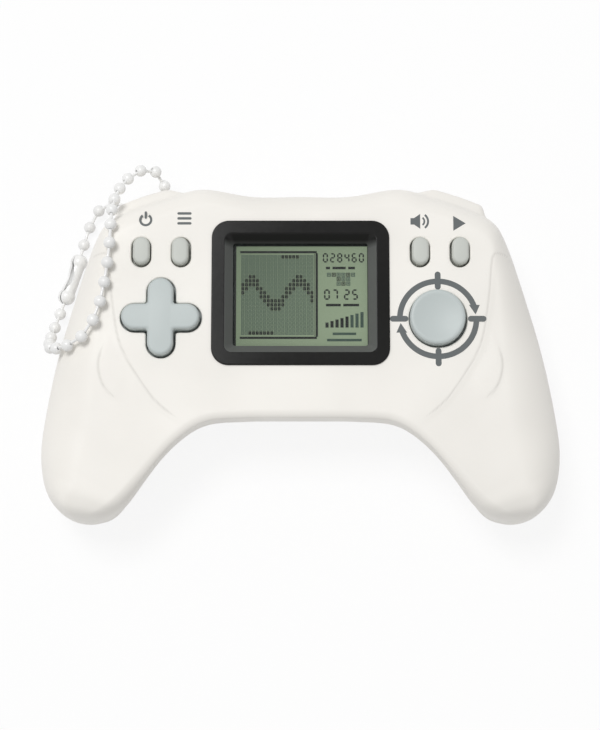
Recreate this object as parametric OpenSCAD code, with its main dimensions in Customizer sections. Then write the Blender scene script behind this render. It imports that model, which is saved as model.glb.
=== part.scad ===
// Mini game console in the shape of a gamepad, on a ball chain.
// It lies on its back: X to the right, Y towards the shoulders, Z out of the screen, z = 0 on the flat back.
// All sizes are in millimetres.

/* [Body] */
// Overall width across the two grips
body_w = 102.4; // [98:0.2:110]
// Distance from the origin up to the top edge
top_y = 31.8; // [31:0.2:36]
// Rise of the rounded hump on the top edge beside each shoulder
hump_h = 1.5; // [0.5:0.1:3]
// Distance from the origin down to the edge of the arch between the grips
arch_y = 14.2; // [12.6:0.2:14.6]
// Distance from the origin down to the grip tips
tip_y = 33.8; // [32:0.2:40]
// Height of the parting plane above the flat back
part_z = 11; // [10:0.2:12]
// Wall thickness of both shells
wall = 1.8; // [1.4:0.1:2.2]
// Width of the rounding along the front edge
front_round = 5.5; // [4:0.5:7]
// Width of the rounding along the back edge
back_round = 8; // [6:0.5:9]
// Width of the front's rounding along the arch and the inside of the grips
arch_round = 1.6; // [0.7:0.1:2.4]
// Width of the same rounding at the grip tips
tip_round = 3; // [2:0.1:5]
// Share of the front's height that stands straight along the arch and the inside of the grips
front_rise = 0.9; // [0.8:0.02:0.94]
// Share of the front's height that stands straight at the grip tips
tip_rise = 0.5; // [0.3:0.02:0.7]
// Share of that straight wall taken by the set-back band along its foot
band_rise = 0.53; // [0.4:0.01:0.7]
// How far the band and the back's edge are set back along the same edge
band_step = 1; // [0.3:0.05:1.2]
// How far the moulded shoulder bumpers stand out
bumper_out = 2; // [1:0.1:3]
// Lower limit of the bumpers above the back
bumper_z0 = 7.5; // [7:0.5:9]
// Upper limit of the bumpers above the back
bumper_z1 = 16.8; // [15:0.2:18]

/* [Screen] */
// Height of the screen centre above the origin
screen_y = 10.4; // [9.5:0.1:11]
// Width of the screen frame
bezel_w = 34.8; // [33:0.2:36]
// Height of the screen frame
bezel_h = 28.8; // [27:0.2:30]
// Corner radius of the screen frame
bezel_r = 3.4; // [2.4:0.2:6]
// How far the screen frame stands out of the face
bezel_proud = 0.4; // [0.2:0.1:0.8]
// Width of the flat band of the screen frame
bezel_band = 2.55; // [2.2:0.05:3]
// Width of the slope inside the flat band
bezel_slope = 1.6; // [1:0.1:2]
// Depth of the window below the top of the frame
screen_depth = 2.2; // [2:0.1:3]
// Overhang of the frame's rim over the face
bezel_rim = 0.8; // [0.6:0.1:1.2]
// Thickness of the clear window
window_t = 0.8; // [0.6:0.1:1.2]
// Overlap of the window behind the frame's slope
window_lap = 1.9; // [1.5:0.1:2.1]
// Width of the liquid crystal panel
lcd_w = 31; // [30:0.2:32]
// Height of the liquid crystal panel
lcd_h = 26; // [25:0.2:26.4]
// Thickness of the liquid crystal panel
lcd_t = 2.2; // [1.8:0.1:2.8]
// Height of the conductive rubber strips
zebra_h = 1.8; // [1.6:0.1:2.4]
// Width of the conductive rubber strips
zebra_w = 1.8; // [1.4:0.1:2.2]

/* [Buttons] */
// Distance of the cross pad from the middle
pad_x = 27.2; // [27:0.1:28]
// Height of the cross pad above the origin
pad_y = 5.4; // [5:0.1:6]
// Overall span of the cross pad
pad_span = 15.2; // [14:0.2:15.6]
// Width of each arm of the cross pad
pad_arm = 5; // [4.6:0.1:5.4]
// Height of the cross pad above the face
pad_proud = 1.8; // [1.4:0.1:2.4]
// Gap round the cross pad in its hole
pad_gap = 0.4; // [0.35:0.05:0.5]
// Diameter of the ball that the cross pad rocks on
pivot_d = 3.4; // [3:0.1:3.6]
// Distance of the round button from the middle
action_x = 26.8; // [26.4:0.1:27.6]
// Height of the round button above the origin
action_y = 5.2; // [4.6:0.1:5.8]
// Diameter of the round button
action_d = 10.8; // [10:0.1:11.6]
// Height of the round button above the face
action_proud = 1.9; // [1.4:0.1:2.4]
// Depth of the dish in the round button
action_dish = 0.5; // [0.3:0.1:0.8]
// Height of the four small buttons above the origin
key_y = 18.5; // [18:0.1:18.8]
// Distance of the outer small buttons from the middle
key_out_x = 31.2; // [30.6:0.1:31.6]
// Distance of the inner small buttons from the middle
key_in_x = 23.4; // [23:0.1:24]
// Width of a small button
key_w = 3.3; // [3:0.1:3.8]
// Height of a small button
key_h = 5.4; // [5:0.1:6]
// Height of the small buttons above the face
key_proud = 1.2; // [0.9:0.1:1.6]
// Gap round each button in its hole
button_gap = 0.3; // [0.3:0.05:0.4]
// Edge rounding of the button caps
cap_round = 0.7; // [0.4:0.1:0.9]
// Width of the retaining lip round each button
lip_w = 0.8; // [0.7:0.1:1]
// Thickness of the retaining lip
lip_t = 1.1; // [0.9:0.1:1.2]
// Room between the lip and the inside of the face
lip_room = 0.4; // [0.3:0.1:0.5]
// Room between the cross pad's lip and the inside of the face
pad_room = 1; // [0.9:0.1:1.2]

/* [Board and keypads] */
// Thickness of the circuit board
pcb_t = 1.2; // [1:0.1:1.6]
// Width of the circuit board
pcb_w = 72; // [71:0.5:73]
// Distance of the board's lower edge below the origin
pcb_low = 8.4; // [8:0.1:9]
// Distance of the board screws beside the liquid crystal panel
pcb_screw_out = 2.8; // [2.6:0.1:3]
// Distance from the board screws to the board's edges
pcb_edge = 2.4; // [2.2:0.1:2.6]
// Diameter of the resin drop over the chip
chip_d = 10; // [8:0.5:12]
// Height of the resin drop over the chip
chip_h = 1.3; // [1:0.1:1.5]
// Thickness of the keypad mats
mat_t = 0.7; // [0.5:0.1:0.9]
// Diameter of a keypad dome at its top
dome_d = 3.2; // [2.4:0.1:3.4]
// Distance of the four domes from the centre of the cross pad
dome_out = 5.2; // [5:0.1:5.6]
// Play between a button and the dome under it
dome_play = 0.3; // [0.2:0.1:0.3]
// Shank diameter of the case and board screws
screw_d = 2.2; // [2:0.1:2.4]
// Head diameter of the case screws
head_d = 4.2; // [3.8:0.1:4.4]
// Head height of the case screws
head_h = 1.6; // [1.2:0.1:1.8]
// Length of the case screws under the head
case_screw_l = 11; // [9:0.5:12]
// Wall of the screw bosses round the screw
boss_wall = 1.3; // [1:0.1:1.5]
// Gap between the circuit board and the screw bosses above and below it
pcb_gap = 0.6; // [0.4:0.1:1]
// Length of the board screws in the face's bosses
pcb_screw_l = 3.4; // [3:0.1:4]

/* [Batteries] */
// Diameter of a cell
cell_d = 10.5; // [10:0.1:10.7]
// Length of a cell with its button
cell_l = 44.5; // [43.5:0.1:45.5]
// Play between the two cells and round them
cell_play = 0.5; // [0.4:0.05:0.6]
// Length of a fitted battery spring
spring_l = 4.3; // [4:0.1:5]
// Wire diameter of a battery spring
spring_wire = 0.6; // [0.5:0.05:0.7]
// Diameter of a battery spring at the contact plate, between wire centres
spring_d = 6.8; // [6:0.1:7.4]
// Diameter of a battery spring at the cell, between wire centres
spring_tip_d = 4.4; // [4:0.1:5]
// Thickness of a contact plate
contact_t = 0.4; // [0.3:0.05:0.5]
// Width of a contact plate
contact_w = 8.6; // [8:0.1:9.4]
// Height of the compartment centre above the origin
tray_y = 9.2; // [8.6:0.1:9.6]
// Wall of the battery compartment
tray_wall = 1.2; // [1:0.1:1.4]
// Thickness of the battery door
door_t = 1.2; // [1:0.1:1.4]
// Gap round the battery door
door_gap = 0.3; // [0.3:0.05:0.4]
// Radius of the door's screw ears
ear_r = 3.4; // [3.2:0.1:3.6]
// Depth of the door's screw ears
ear_t = 2.4; // [2.2:0.1:2.8]
// Length of the door screws under their heads
door_screw_l = 6.4; // [5.6:0.2:6.8]
// Spacing of the finger grooves in the door
groove_step = 2.4; // [2:0.1:2.8]
// Length of the finger grooves in the door
groove_l = 8; // [6:0.5:12]
// Width of the finger grooves in the door
groove_w = 1; // [0.8:0.1:1.4]
// Diameter of the sound disc
buzzer_d = 11.4; // [11:0.2:13]
// Thickness of the sound disc
buzzer_t = 0.6; // [0.4:0.1:0.8]
// Distance of the sound disc from the side of its grip
buzzer_in = 12; // [11:0.5:14]
// Distance of the sound disc below the origin
buzzer_low = 12.5; // [12:0.5:15]
// Height of the sound disc above the inside of the back
buzzer_lift = 2.6; // [2:0.1:3]

/* [Chain] */
// Diameter of a chain bead
bead_d = 2.4; // [2:0.1:2.5]
// Spacing of the beads along the chain
bead_pitch = 3.9; // [3.6:0.1:4.2]
// Diameter of the links between the beads
link_d = 0.8; // [0.6:0.1:1]
// Wall of the chain connector
connector_wall = 0.4; // [0.3:0.05:0.5]
// Distance of the chain lug from the middle
lug_x = 31; // [30.6:0.1:31.4]
// Height of the lug's hole above the back
lug_z = 4.6; // [4.4:0.1:4.8]
// Diameter of the hole in the lug
lug_hole = 3.5; // [3.4:0.1:3.8]
// Wall round the hole in the lug
lug_wall = 1.1; // [0.9:0.1:1.3]
// Thickness of the lug
lug_t = 1.4; // [1.2:0.1:1.6]

/* [Hidden] */
$fn = 48;
fit = 0.3;
touch = 0.05;

// Heights of the stack from the door up to the face
cell_z = door_t + fit + cell_d / 2;
roof_z0 = cell_z + cell_d / 2 + fit;
roof_z1 = roof_z0 + 1;
pcb_z0 = roof_z1 + 0.7;
pcb_z1 = pcb_z0 + pcb_t;
lcd_z0 = pcb_z1 + zebra_h;
lcd_z1 = lcd_z0 + lcd_t;
win_z0 = lcd_z1 + 0.2;
win_z1 = win_z0 + window_t;
bezel_z1 = win_z1 + screen_depth;
face_z = bezel_z1 - bezel_proud;
under_z = face_z - wall;

// Heights of the buttons
lip_z1 = under_z - lip_room;
lip_z0 = lip_z1 - lip_t;
pad_lip_z1 = under_z - pad_room;
pad_lip_z0 = pad_lip_z1 - lip_t;
pivot_z = pad_lip_z1 - 0.2;

// Screen frame
neck_w = bezel_w - 2 * bezel_rim;
neck_h = bezel_h - 2 * bezel_rim;
view_w = bezel_w - 2 * (bezel_band + bezel_slope);
view_h = bezel_h - 2 * (bezel_band + bezel_slope);
window_w = view_w + 2 * window_lap;
window_h = view_h + 2 * window_lap;

// Battery compartment
cell_step = cell_d + cell_play;
tray_l = cell_l + spring_l + 2 * contact_t + 2 * touch;
tray_h = 2 * cell_d + 3 * cell_play;
door_l = tray_l + 2 * tray_wall;
door_h = tray_h + 2 * tray_wall;
ear_x = door_l / 2 + 2.4;
cell_off = (tray_l - cell_l) / 2 - contact_t - touch;

// Lug and chain
lug_y = top_y - 1.4;
lug_r = lug_hole / 2 + lug_wall;
lobe_r = bead_d / 2 + 0.15 + connector_wall;

// Ends of the ribs that carry the housing: outer ends from the top centre round the shoulder to the grip
// tip, inner ends from the arch to the grip tip. The first and last rib continue the curve past its ends.
half_w = body_w / 2;
tip_x = half_w - 8.8;
arch_w = half_w - 27.2;
outer_ends = [
  [41.7 - half_w, top_y],
  [0, top_y],
  [half_w - 41.7, top_y],
  [half_w - 31.6, top_y + hump_h],
  [half_w - 24.7, top_y - 0.3],
  [half_w - 18, top_y - 2.5],
  [half_w - 12.6, top_y - 5.3],
  [half_w - 9.7, top_y - 10.2],
  [half_w - 6.2, top_y - 21],
  [half_w - 3.2, top_y - 31.8],
  [half_w - 1, 22.8 - tip_y],
  [half_w, 13.6 - tip_y],
  [half_w - 1.2, 6.3 - tip_y],
  [half_w - 4.5, 1.8 - tip_y],
  [tip_x, -tip_y],
  [tip_x - 3.8, 0.4 - tip_y]
];
inner_ends = [
  [-0.19 * arch_w, -arch_y],
  [0, -arch_y],
  [0.19 * arch_w, -arch_y],
  [0.37 * arch_w, -arch_y],
  [0.5 * arch_w, -arch_y - 0.1],
  [0.625 * arch_w, -arch_y - 0.2],
  [0.74 * arch_w, -arch_y - 0.6],
  [0.86 * arch_w, -arch_y - 1.8],
  [arch_w, -arch_y - 4.3],
  [half_w - 24, 12 - tip_y],
  [half_w - 20.8, 7.8 - tip_y],
  [half_w - 17.9, 3.9 - tip_y],
  [half_w - 15.4, 1.6 - tip_y],
  [tip_x - 3.8, 0.4 - tip_y],
  [tip_x, -tip_y],
  [half_w - 4.5, 1.8 - tip_y]
];
// Height of the front and depth of the back at each rib, as shares of the full height
front_share = [1, 1, 1, 1, 1, 1, 1, 1, 0.99, 0.98, 0.97, 0.955, 0.91, 0.68, 0, -0.68];
back_share = [1, 1, 1, 1, 1, 1, 1, 1, 0.99, 0.975, 0.955, 0.92, 0.83, 0.56, 0, -0.56];
// Ribs counted from the middle: where each grip's tip closes, and how far the hollow inside reaches
last_rib = 12.9;
last_hollow = 11.6;
rib_count = 39;
hollow_count = 24;
arc_steps = 6;

// Side of the body and the lug, as the chain's route sees it
chain_side = lug_x - half_w;

// Route of the chain from one end bead to the other, measured from the lug's hole
chain_route = [
  [chain_side + 3.2, -16.6, -2.65],
  [chain_side + 1.8, -21, -2],
  [chain_side + 1, -24.8, 1],
  [chain_side + 0.9, -27.6, 5.2],
  [chain_side + 1.7, -29.6, 10],
  [chain_side + 4.2, -30.4, 14.6],
  [chain_side + 8, -29.4, 17.8],
  [chain_side + 10.8, -26, 19],
  [chain_side + 12.4, -21.4, 18.9],
  [chain_side + 13.4, -15.4, 18.9],
  [chain_side + 14, -9.4, 19],
  [chain_side + 14, -4.4, 17.4],
  [chain_side + 14.4, 0.6, 13],
  [-4, 5, 9],
  [-1, 7.8, 6.2],
  [2, 7.8, 3.4],
  [3.2, 5, 1.2],
  [2.4, 1.6, 0.3],
  [0, 0, 0],
  [-3.4, 1.2, -0.4],
  [-6.6, 3, -1],
  [-10, 2.2, -2.2],
  [chain_side + 7.8, -1.4, -3.2],
  [chain_side + 6.6, -5.2, -3.1],
  [chain_side + 5.6, -9.4, -2.65]
];

// Smooth step from 0 at a to 1 at b
function ease(a, b, t) = let (u = min(1, max(0, (t - a) / (b - a)))) u * u * (3 - 2 * u);

// Point on a smooth curve from b to c, with a and d as its neighbours
function curve(a, b, c, d, t) =
  b + 0.5 * t * (c - a + t * (2 * a - 5 * b + 4 * c - d + t * (3 * (b - c) + d - a)));

// Value of a list of keys at rib number s, with one extra key in front
function key_at(keys, s) =
  let (i = min(12, floor(s)))
  curve(keys[i], keys[i + 1], keys[i + 2], keys[i + 3], s - i);

// Stand-out of the shoulder bumper at rib number s and height z
function bumper(s, z) =
  bumper_out * ease(2.4, 3.05, s) * (1 - ease(4.35, 4.78, s))
  * ease(bumper_z0, bumper_z0 + 2, z) * (1 - ease(bumper_z1 - 2.6, bumper_z1, z));

// One flank of a section, from the parting plane to the middle: a straight wall up to the share rise of
// the height h, then a quarter round of width r. With a crown its last point stands a little proud, to be
// cut flat.
function flank(w, h, r, rise, crown) =
  let (
    arc = [
      for (k = [0 : arc_steps])
        let (q = 90 * k / arc_steps)
        [w - r * (1 - cos(q)), h * (rise + (1 - rise) * sin(q))]
    ],
    top = arc[arc_steps] + crown * (arc[arc_steps] - arc[arc_steps - 1])
  )
  concat([for (k = [0 : arc_steps - 1]) arc[k]], [top]);

// Section of the housing at rib number s, set in by the depth t from the outside: points from the outer end
// over the middle to the inner end. dir is 1 for the front half and -1 for the back half.
// The hollow reaches past the parting plane.
function section(s, t, dir) =
  let (
    a = abs(s),
    o = key_at(outer_ends, a),
    i = key_at(inner_ends, a),
    len = norm(o - i),
    u = (o - i) / len,
    w = len / 2 - 1.1 * t,
    h = (dir > 0 ? (face_z - part_z) * key_at(front_share, a) : part_z * key_at(back_share, a)) - t,
    edge = dir > 0 ? front_round : back_round,
    full_r = (edge + (len / 2 - edge) * ease(5, 10, a)) * (1 - 0.45 * ease(10, 12, a)),
    r = min(0.94 * w, max(0.3, full_r - t)),
    near_tip = ease(8, 12, a),
    rise = dir > 0 ? front_rise + (tip_rise - front_rise) * near_tip : 0,
    band = band_rise * rise * h,
    step = t > 0 ? 0 : band_step * (1 - 0.9 * ease(9, 12, a)) * min(1, w / 3),
    arch_reach = dir > 0 ? w : w - step,
    arch_full = dir > 0 ? arch_round + (tip_round - arch_round) * near_tip : back_round,
    arch_r = min(0.94 * arch_reach, max(0.3, arch_full - t)),
    crown = 1 - ease(6.6, 8.2, a),
    mid = (o + i) / 2,
    side = s < 0 ? -1 : 1,
    outer_flank = concat(t > 0 ? [[w, -1]] : [], flank(w, h, r, 0, crown)),
    foot = t > 0 ? [[w, -1]] : dir > 0 ? [[w - step, 0], [w - step, band], [w, band]] : [],
    arch_flank = concat(foot, flank(arch_reach, h, arch_r, rise, crown)),
    outer = [
      for (p = outer_flank)
        let (z = part_z + dir * p[1], e = p[0] + (t == 0 ? bumper(a, z) : 0))
        [side * (mid[0] + e * u[0]), mid[1] + e * u[1], z]
    ],
    inner = [
      for (k = [len(arch_flank) - 1 : -1 : 0])
        let (p = arch_flank[k])
        [side * (mid[0] - p[0] * u[0]), mid[1] - p[0] * u[1], part_z + dir * p[1]]
    ]
  )
  concat(outer, inner);

// Closed solid through all sections, out to the rib number reach on both sides
module skin(t, dir, reach, count) {
  rows = [for (k = [-count : count]) section(reach * k / count, t, dir)];
  m = len(rows[0]);
  last = 2 * count * m;
  walls = [
    for (k = [0 : 2 * count - 1], j = [0 : m - 1])
      let (a = k * m + j, b = k * m + (j + 1) % m)
      each [[a, b, b + m], [a, b + m, a + m]]
  ];
  ends = [
    for (j = [1 : m - 2])
      each [[0, j + 1, j], [last, last + j, last + j + 1]]
  ];
  faces = concat(walls, ends);
  polyhedron(
    points = [for (row = rows) each row],
    faces = dir < 0 ? faces : [for (f = faces) [f[0], f[2], f[1]]]
  );
}

// One half of the housing: a lofted shell with a flat middle outside and inside
module shell_half(dir) {
  size = 3 * body_w;
  flat = dir > 0 ? face_z : 0;
  difference() {
    intersection() {
      skin(0, dir, last_rib, rib_count);
      translate([0, 0, flat - dir * size / 2]) cube(size, center = true);
    }
    intersection() {
      skin(wall, dir, last_hollow, hollow_count);
      translate([0, 0, flat - dir * (wall + size / 2)]) cube(size, center = true);
    }
  }
}

// Point on the rib of number s, at the distance d from its outer end
function on_rib(s, d) =
  let (o = key_at(outer_ends, s), i = key_at(inner_ends, s))
  o - (o - i) / norm(o - i) * d;

// Case screws on the right half: place, and number of the nearest rib
head_z1 = part_z - 5.5;
boss_r = screw_d / 2 + boss_wall;
pcb_tab = lcd_w / 2 + pcb_screw_out + pcb_edge;
bosses = [
  [[max(on_rib(3, 7)[0], pcb_tab + boss_r + pcb_gap), on_rib(3, 7)[1]], 3],
  [[arch_w + 6, -pcb_low - boss_r - pcb_gap], 6.5],
  [on_rib(9.6, 11), 9.6]
];

// Upper edge of the circuit board's wide part, below the upper screws
pcb_top = bosses[0][0][1] - boss_r - pcb_gap;

// Height of the outside face over a case screw and under its head
function face_over(b) = part_z + (face_z - part_z) * key_at(front_share, b[1]);
function back_under(b) = part_z * (1 - key_at(back_share, b[1]));

// Copies the children to both sides of the middle
module both_sides() {
  children();
  mirror([1, 0, 0]) children();
}

// Rectangle with round corners
module rounded(w, h, r) {
  square([w - 2 * r, h], center = true);
  square([w, h - 2 * r], center = true);
  for (x = [-1, 1], y = [-1, 1]) {
    translate([x * (w / 2 - r), y * (h / 2 - r)]) circle(r);
  }
}

// Long hole or bar with round ends, along Y
module pill(w, h) {
  square([w, h - w], center = true);
  for (y = [-1, 1]) {
    translate([0, y * (h - w) / 2]) circle(w / 2);
  }
}

// Cross of two bars with round ends
module cross(span, arm) {
  pill(arm, span);
  rotate(90) pill(arm, span);
}

// Half of a button's profile: x is the distance from its middle line
module cap_profile(w, z0, z1) {
  translate([0, z0]) square([w / 2, z1 - cap_round - z0]);
  translate([0, z0]) square([w / 2 - cap_round, z1 - z0]);
  translate([w / 2 - cap_round, z1 - cap_round]) circle(cap_round);
}

// Bar with round ends and a rounded top edge, along Y
module cap_bar(w, h, z0, z1) {
  rotate([90, 0, 0]) {
    linear_extrude(h - w, center = true) {
      cap_profile(w, z0, z1);
      mirror([1, 0]) cap_profile(w, z0, z1);
    }
  }
  for (y = [-1, 1]) {
    translate([0, y * (h - w) / 2, 0]) rotate_extrude() {
      intersection() {
        cap_profile(w, z0, z1);
        translate([0, z0]) square([w, z1 - z0]);
      }
    }
  }
}

// Pocket with four sloped sides, from the view opening up to the flat band
module slope_pocket() {
  lw = view_w / 2;
  lh = view_h / 2;
  uw = lw + bezel_slope;
  uh = lh + bezel_slope;
  polyhedron(
    points = [
      [-lw, -lh, win_z1], [lw, -lh, win_z1], [lw, lh, win_z1], [-lw, lh, win_z1],
      [-uw, -uh, bezel_z1], [uw, -uh, bezel_z1], [uw, uh, bezel_z1], [-uw, uh, bezel_z1]
    ],
    faces = [
      [0, 1, 2, 3], [7, 6, 5, 4], [4, 5, 1, 0], [5, 6, 2, 1], [6, 7, 3, 2], [7, 4, 0, 3]
    ]
  );
}

// Places of the board screws
module at_pcb_screws() {
  for (x = [-1, 1], y = [-pcb_low + pcb_edge, screen_y + lcd_h / 2 + 2.2]) {
    translate([x * (lcd_w / 2 + pcb_screw_out), y, 0]) children();
  }
}

// Outline of the battery door, grown by g
module door_outline(g) {
  rounded(door_l + 2 * g, door_h + 2 * g, 1.5 + g);
  for (x = [-1, 1]) {
    translate([x * ear_x, 0]) circle(ear_r + g);
  }
}

module front_shell() {
  color([0.95, 0.94, 0.92])
  difference() {
    union() {
      shell_half(1);
      for (b = bosses) {
        both_sides() translate([b[0][0], b[0][1], part_z])
          cylinder(r = boss_r, h = face_over(b) - wall / 2 - part_z);
      }
      at_pcb_screws() translate([0, 0, pcb_z1])
        cylinder(r = screw_d / 2 + 0.9, h = face_z - wall / 2 - pcb_z1);
    }
    translate([0, screen_y, under_z - 1]) linear_extrude(wall + 2)
      rounded(neck_w + 0.2, neck_h + 0.2, bezel_r - bezel_rim);
    translate([-pad_x, pad_y, under_z - 1]) linear_extrude(wall + 2)
      cross(pad_span + 2 * pad_gap, pad_arm + 2 * pad_gap);
    translate([action_x, action_y, under_z - 1]) cylinder(d = action_d + 2 * button_gap, h = wall + 2);
    for (x = [-key_out_x, -key_in_x, key_in_x, key_out_x]) {
      translate([x, key_y, under_z - 1]) linear_extrude(wall + 2)
        pill(key_w + 2 * button_gap, key_h + 2 * button_gap);
    }
    for (b = bosses) {
      both_sides() translate([b[0][0], b[0][1], part_z - 1])
        cylinder(d = screw_d + 0.04, h = case_screw_l + head_z1 - part_z + 1.5);
    }
    at_pcb_screws() translate([0, 0, pcb_z1 - 1])
      cylinder(d = screw_d * 0.8 + 0.04, h = pcb_screw_l + 1.2);
  }
}

module back_shell() {
  color([0.93, 0.92, 0.9])
  difference() {
    union() {
      shell_half(-1);
      translate([0, tray_y, wall / 2 + roof_z1 / 2 - wall / 4]) {
        cube([door_l, door_h, roof_z1 - wall / 2], center = true);
      }
      for (x = [-1, 1]) {
        translate([x * ear_x, tray_y, wall / 2]) cylinder(r = ear_r + door_gap + 1, h = 8.5 - wall / 2);
      }
      for (b = bosses) {
        both_sides() translate([b[0][0], b[0][1], back_under(b) + wall * 0.6])
          cylinder(d = head_d + 2.4, h = part_z - touch - back_under(b) - wall * 0.6);
      }
      translate([buzzer_place[0], buzzer_place[1], wall])
        cylinder(d = buzzer_d, h = buzzer_place[2] - wall);
      translate([-lug_x, lug_y, lug_z]) rotate([90, 0, 90]) linear_extrude(lug_t, center = true) {
        circle(lug_r);
        translate([-4.2, -lug_r]) square([4.2, 2 * lug_r]);
      }
    }
    translate([0, tray_y, (roof_z0 - 1) / 2]) cube([tray_l, tray_h, roof_z0 + 1], center = true);
    translate([0, tray_y, -1]) linear_extrude(door_t + 1 + touch) door_outline(door_gap);
    for (x = [-1, 1]) {
      translate([x * ear_x, tray_y, -1]) cylinder(r = ear_r + door_gap, h = ear_t + 1 + touch);
      translate([x * ear_x, tray_y, 0]) cylinder(d = screw_d - 0.2 + 2 * fit, h = 8);
    }
    for (b = bosses) {
      both_sides() translate([b[0][0], b[0][1], -1]) {
        cylinder(d = head_d + 0.4, h = head_z1 + 1);
        cylinder(d = screw_d + 0.2, h = part_z + 2);
      }
    }
    translate([buzzer_place[0], buzzer_place[1], wall + 0.6]) cylinder(d = buzzer_d - 2.4, h = 8);
    for (q = [0 : 90 : 270]) {
      translate([buzzer_place[0], buzzer_place[1], -1]) {
        rotate(q) translate([2.6, 0, 0]) cylinder(d = 1.4, h = 5);
        cylinder(d = 1.4, h = 5);
      }
    }
    translate([-lug_x, lug_y, lug_z]) rotate([0, 90, 0])
      cylinder(d = lug_hole, h = lug_t + 2, center = true);
    for (y = [-1, 1]) {
      translate([-tray_l / 2 + contact_t, tray_y + y * cell_step / 2, roof_z1])
        cube([1.2, 3, 4], center = true);
    }
  }
}

// Place of the sound disc in the right grip
buzzer_place = [half_w - buzzer_in, -buzzer_low, wall + buzzer_lift];

module screen_bezel() {
  color([0.1, 0.1, 0.1])
  translate([0, screen_y, 0])
  difference() {
    union() {
      translate([0, 0, face_z + 0.02]) linear_extrude(bezel_proud - 0.02)
        rounded(bezel_w, bezel_h, bezel_r);
      translate([0, 0, win_z0]) linear_extrude(face_z + 0.1 - win_z0)
        rounded(neck_w, neck_h, bezel_r - bezel_rim);
    }
    slope_pocket();
    translate([0, 0, win_z0 - 1 + window_t / 2])
      cube([window_w + 0.1, window_h + 0.1, window_t + 2], center = true);
  }
}

module screen_window() {
  color([0.8, 0.85, 0.85, 0.5])
  translate([0, screen_y, win_z0 + window_t / 2 - 0.01])
    cube([window_w, window_h, window_t - 0.02], center = true);
}

module lcd_panel() {
  color([0.5, 0.56, 0.48])
  translate([0, screen_y, lcd_z0 + lcd_t / 2]) cube([lcd_w, lcd_h, lcd_t], center = true);
}

module zebra_strips() {
  color([0.75, 0.4, 0.5])
  for (y = [-1, 1]) {
    translate([0, screen_y + y * (lcd_h - zebra_w - 0.6) / 2, pcb_z1 + zebra_h / 2]) {
      cube([lcd_w - 2, zebra_w, zebra_h - 0.02], center = true);
    }
  }
}

module main_pcb() {
  color([0.1, 0.4, 0.2])
  difference() {
    translate([0, 0, pcb_z0]) linear_extrude(pcb_t - 0.01) {
      translate([-pcb_w / 2, -pcb_low]) square([pcb_w, pcb_low + pcb_top]);
      translate([-pcb_tab, 0]) square([2 * pcb_tab, screen_y + lcd_h / 2 + 4.2]);
    }
    at_pcb_screws() cylinder(d = screw_d, h = 40);
  }
}

module chip_cap() {
  ball = (chip_d * chip_d / 4 + chip_h * chip_h) / (2 * chip_h);
  color([0.08, 0.08, 0.08])
  translate([0, screen_y, pcb_z1])
  rotate_extrude($fn = 96) intersection() {
    translate([0, chip_h - ball]) circle(ball, $fn = 360);
    square([chip_d, chip_h]);
  }
}

// Keypad dome with its top just under a button's lip
module dome(top) {
  translate([0, 0, pcb_z1 + mat_t / 2])
    cylinder(d1 = dome_d + 1.4, d2 = dome_d, h = top - dome_play - pcb_z1 - mat_t / 2);
}

// Mat under the two small buttons and the large one on one side
module mat(x, y, w) {
  low = y - w / 2;
  translate([x - w / 2, low, pcb_z1 + 0.01]) cube([w, key_y + key_h / 2 - low, mat_t]);
  for (k = [key_in_x, key_out_x]) {
    translate([k, key_y, 0]) dome(lip_z0);
  }
}

module left_keypad() {
  color([0.5, 0.5, 0.55])
  mirror([1, 0, 0]) {
    mat(pad_x, pad_y, pad_span + 1.2);
    for (q = [0 : 90 : 270]) {
      translate([pad_x, pad_y, 0]) rotate(q) translate([dome_out, 0, 0]) dome(pad_lip_z0);
    }
    translate([pad_x, pad_y, pcb_z1 + mat_t / 2]) {
      cylinder(d = 3, h = pivot_z - pivot_d / 2 - dome_play - pcb_z1 - mat_t / 2);
    }
  }
}

module right_keypad() {
  color([0.5, 0.5, 0.55]) {
    mat(action_x, action_y, pad_span + 1.2);
    translate([action_x, action_y, 0]) dome(lip_z0);
  }
}

module dpad_cap() {
  color([0.78, 0.8, 0.8])
  translate([-pad_x, pad_y, 0])
  difference() {
    union() {
      cap_bar(pad_arm, pad_span, pad_lip_z0, face_z + pad_proud);
      rotate(90) cap_bar(pad_arm, pad_span, pad_lip_z0, face_z + pad_proud);
      translate([0, 0, pad_lip_z0]) linear_extrude(lip_t)
        cross(pad_span + 2 * (pad_gap + lip_w), pad_arm + 2 * (pad_gap + lip_w));
    }
    translate([0, 0, pivot_z]) sphere(pivot_d / 2 + fit);
  }
}

module dpad_pivot() {
  color([0.7, 0.7, 0.7])
  translate([-pad_x, pad_y, pivot_z]) sphere(d = pivot_d);
}

module action_button() {
  r = action_d / 2;
  top = face_z + action_proud;
  bowl = ((r - 1) * (r - 1) + action_dish * action_dish) / (2 * action_dish);
  color([0.75, 0.79, 0.78])
  translate([action_x, action_y, 0])
  difference() {
    union() {
      rotate_extrude() intersection() {
        cap_profile(action_d, lip_z0, top);
        translate([0, lip_z0]) square([r, top - lip_z0]);
      }
      translate([0, 0, lip_z0]) cylinder(r = r + button_gap + lip_w, h = lip_t);
    }
    translate([0, 0, top - action_dish + bowl]) sphere(bowl);
  }
}

// Small oval button at x
module small_button(x) {
  color([0.79, 0.8, 0.78])
  translate([x, key_y, 0]) {
    cap_bar(key_w, key_h, lip_z0, face_z + key_proud);
    translate([0, 0, lip_z0]) linear_extrude(lip_t)
      pill(key_w + 2 * (button_gap + lip_w), key_h + 2 * (button_gap + lip_w));
  }
}

module power_button() {
  small_button(-key_out_x);
}

module menu_button() {
  small_button(-key_in_x);
}

module sound_button() {
  small_button(key_in_x);
}

module play_button() {
  small_button(key_out_x);
}

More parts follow.
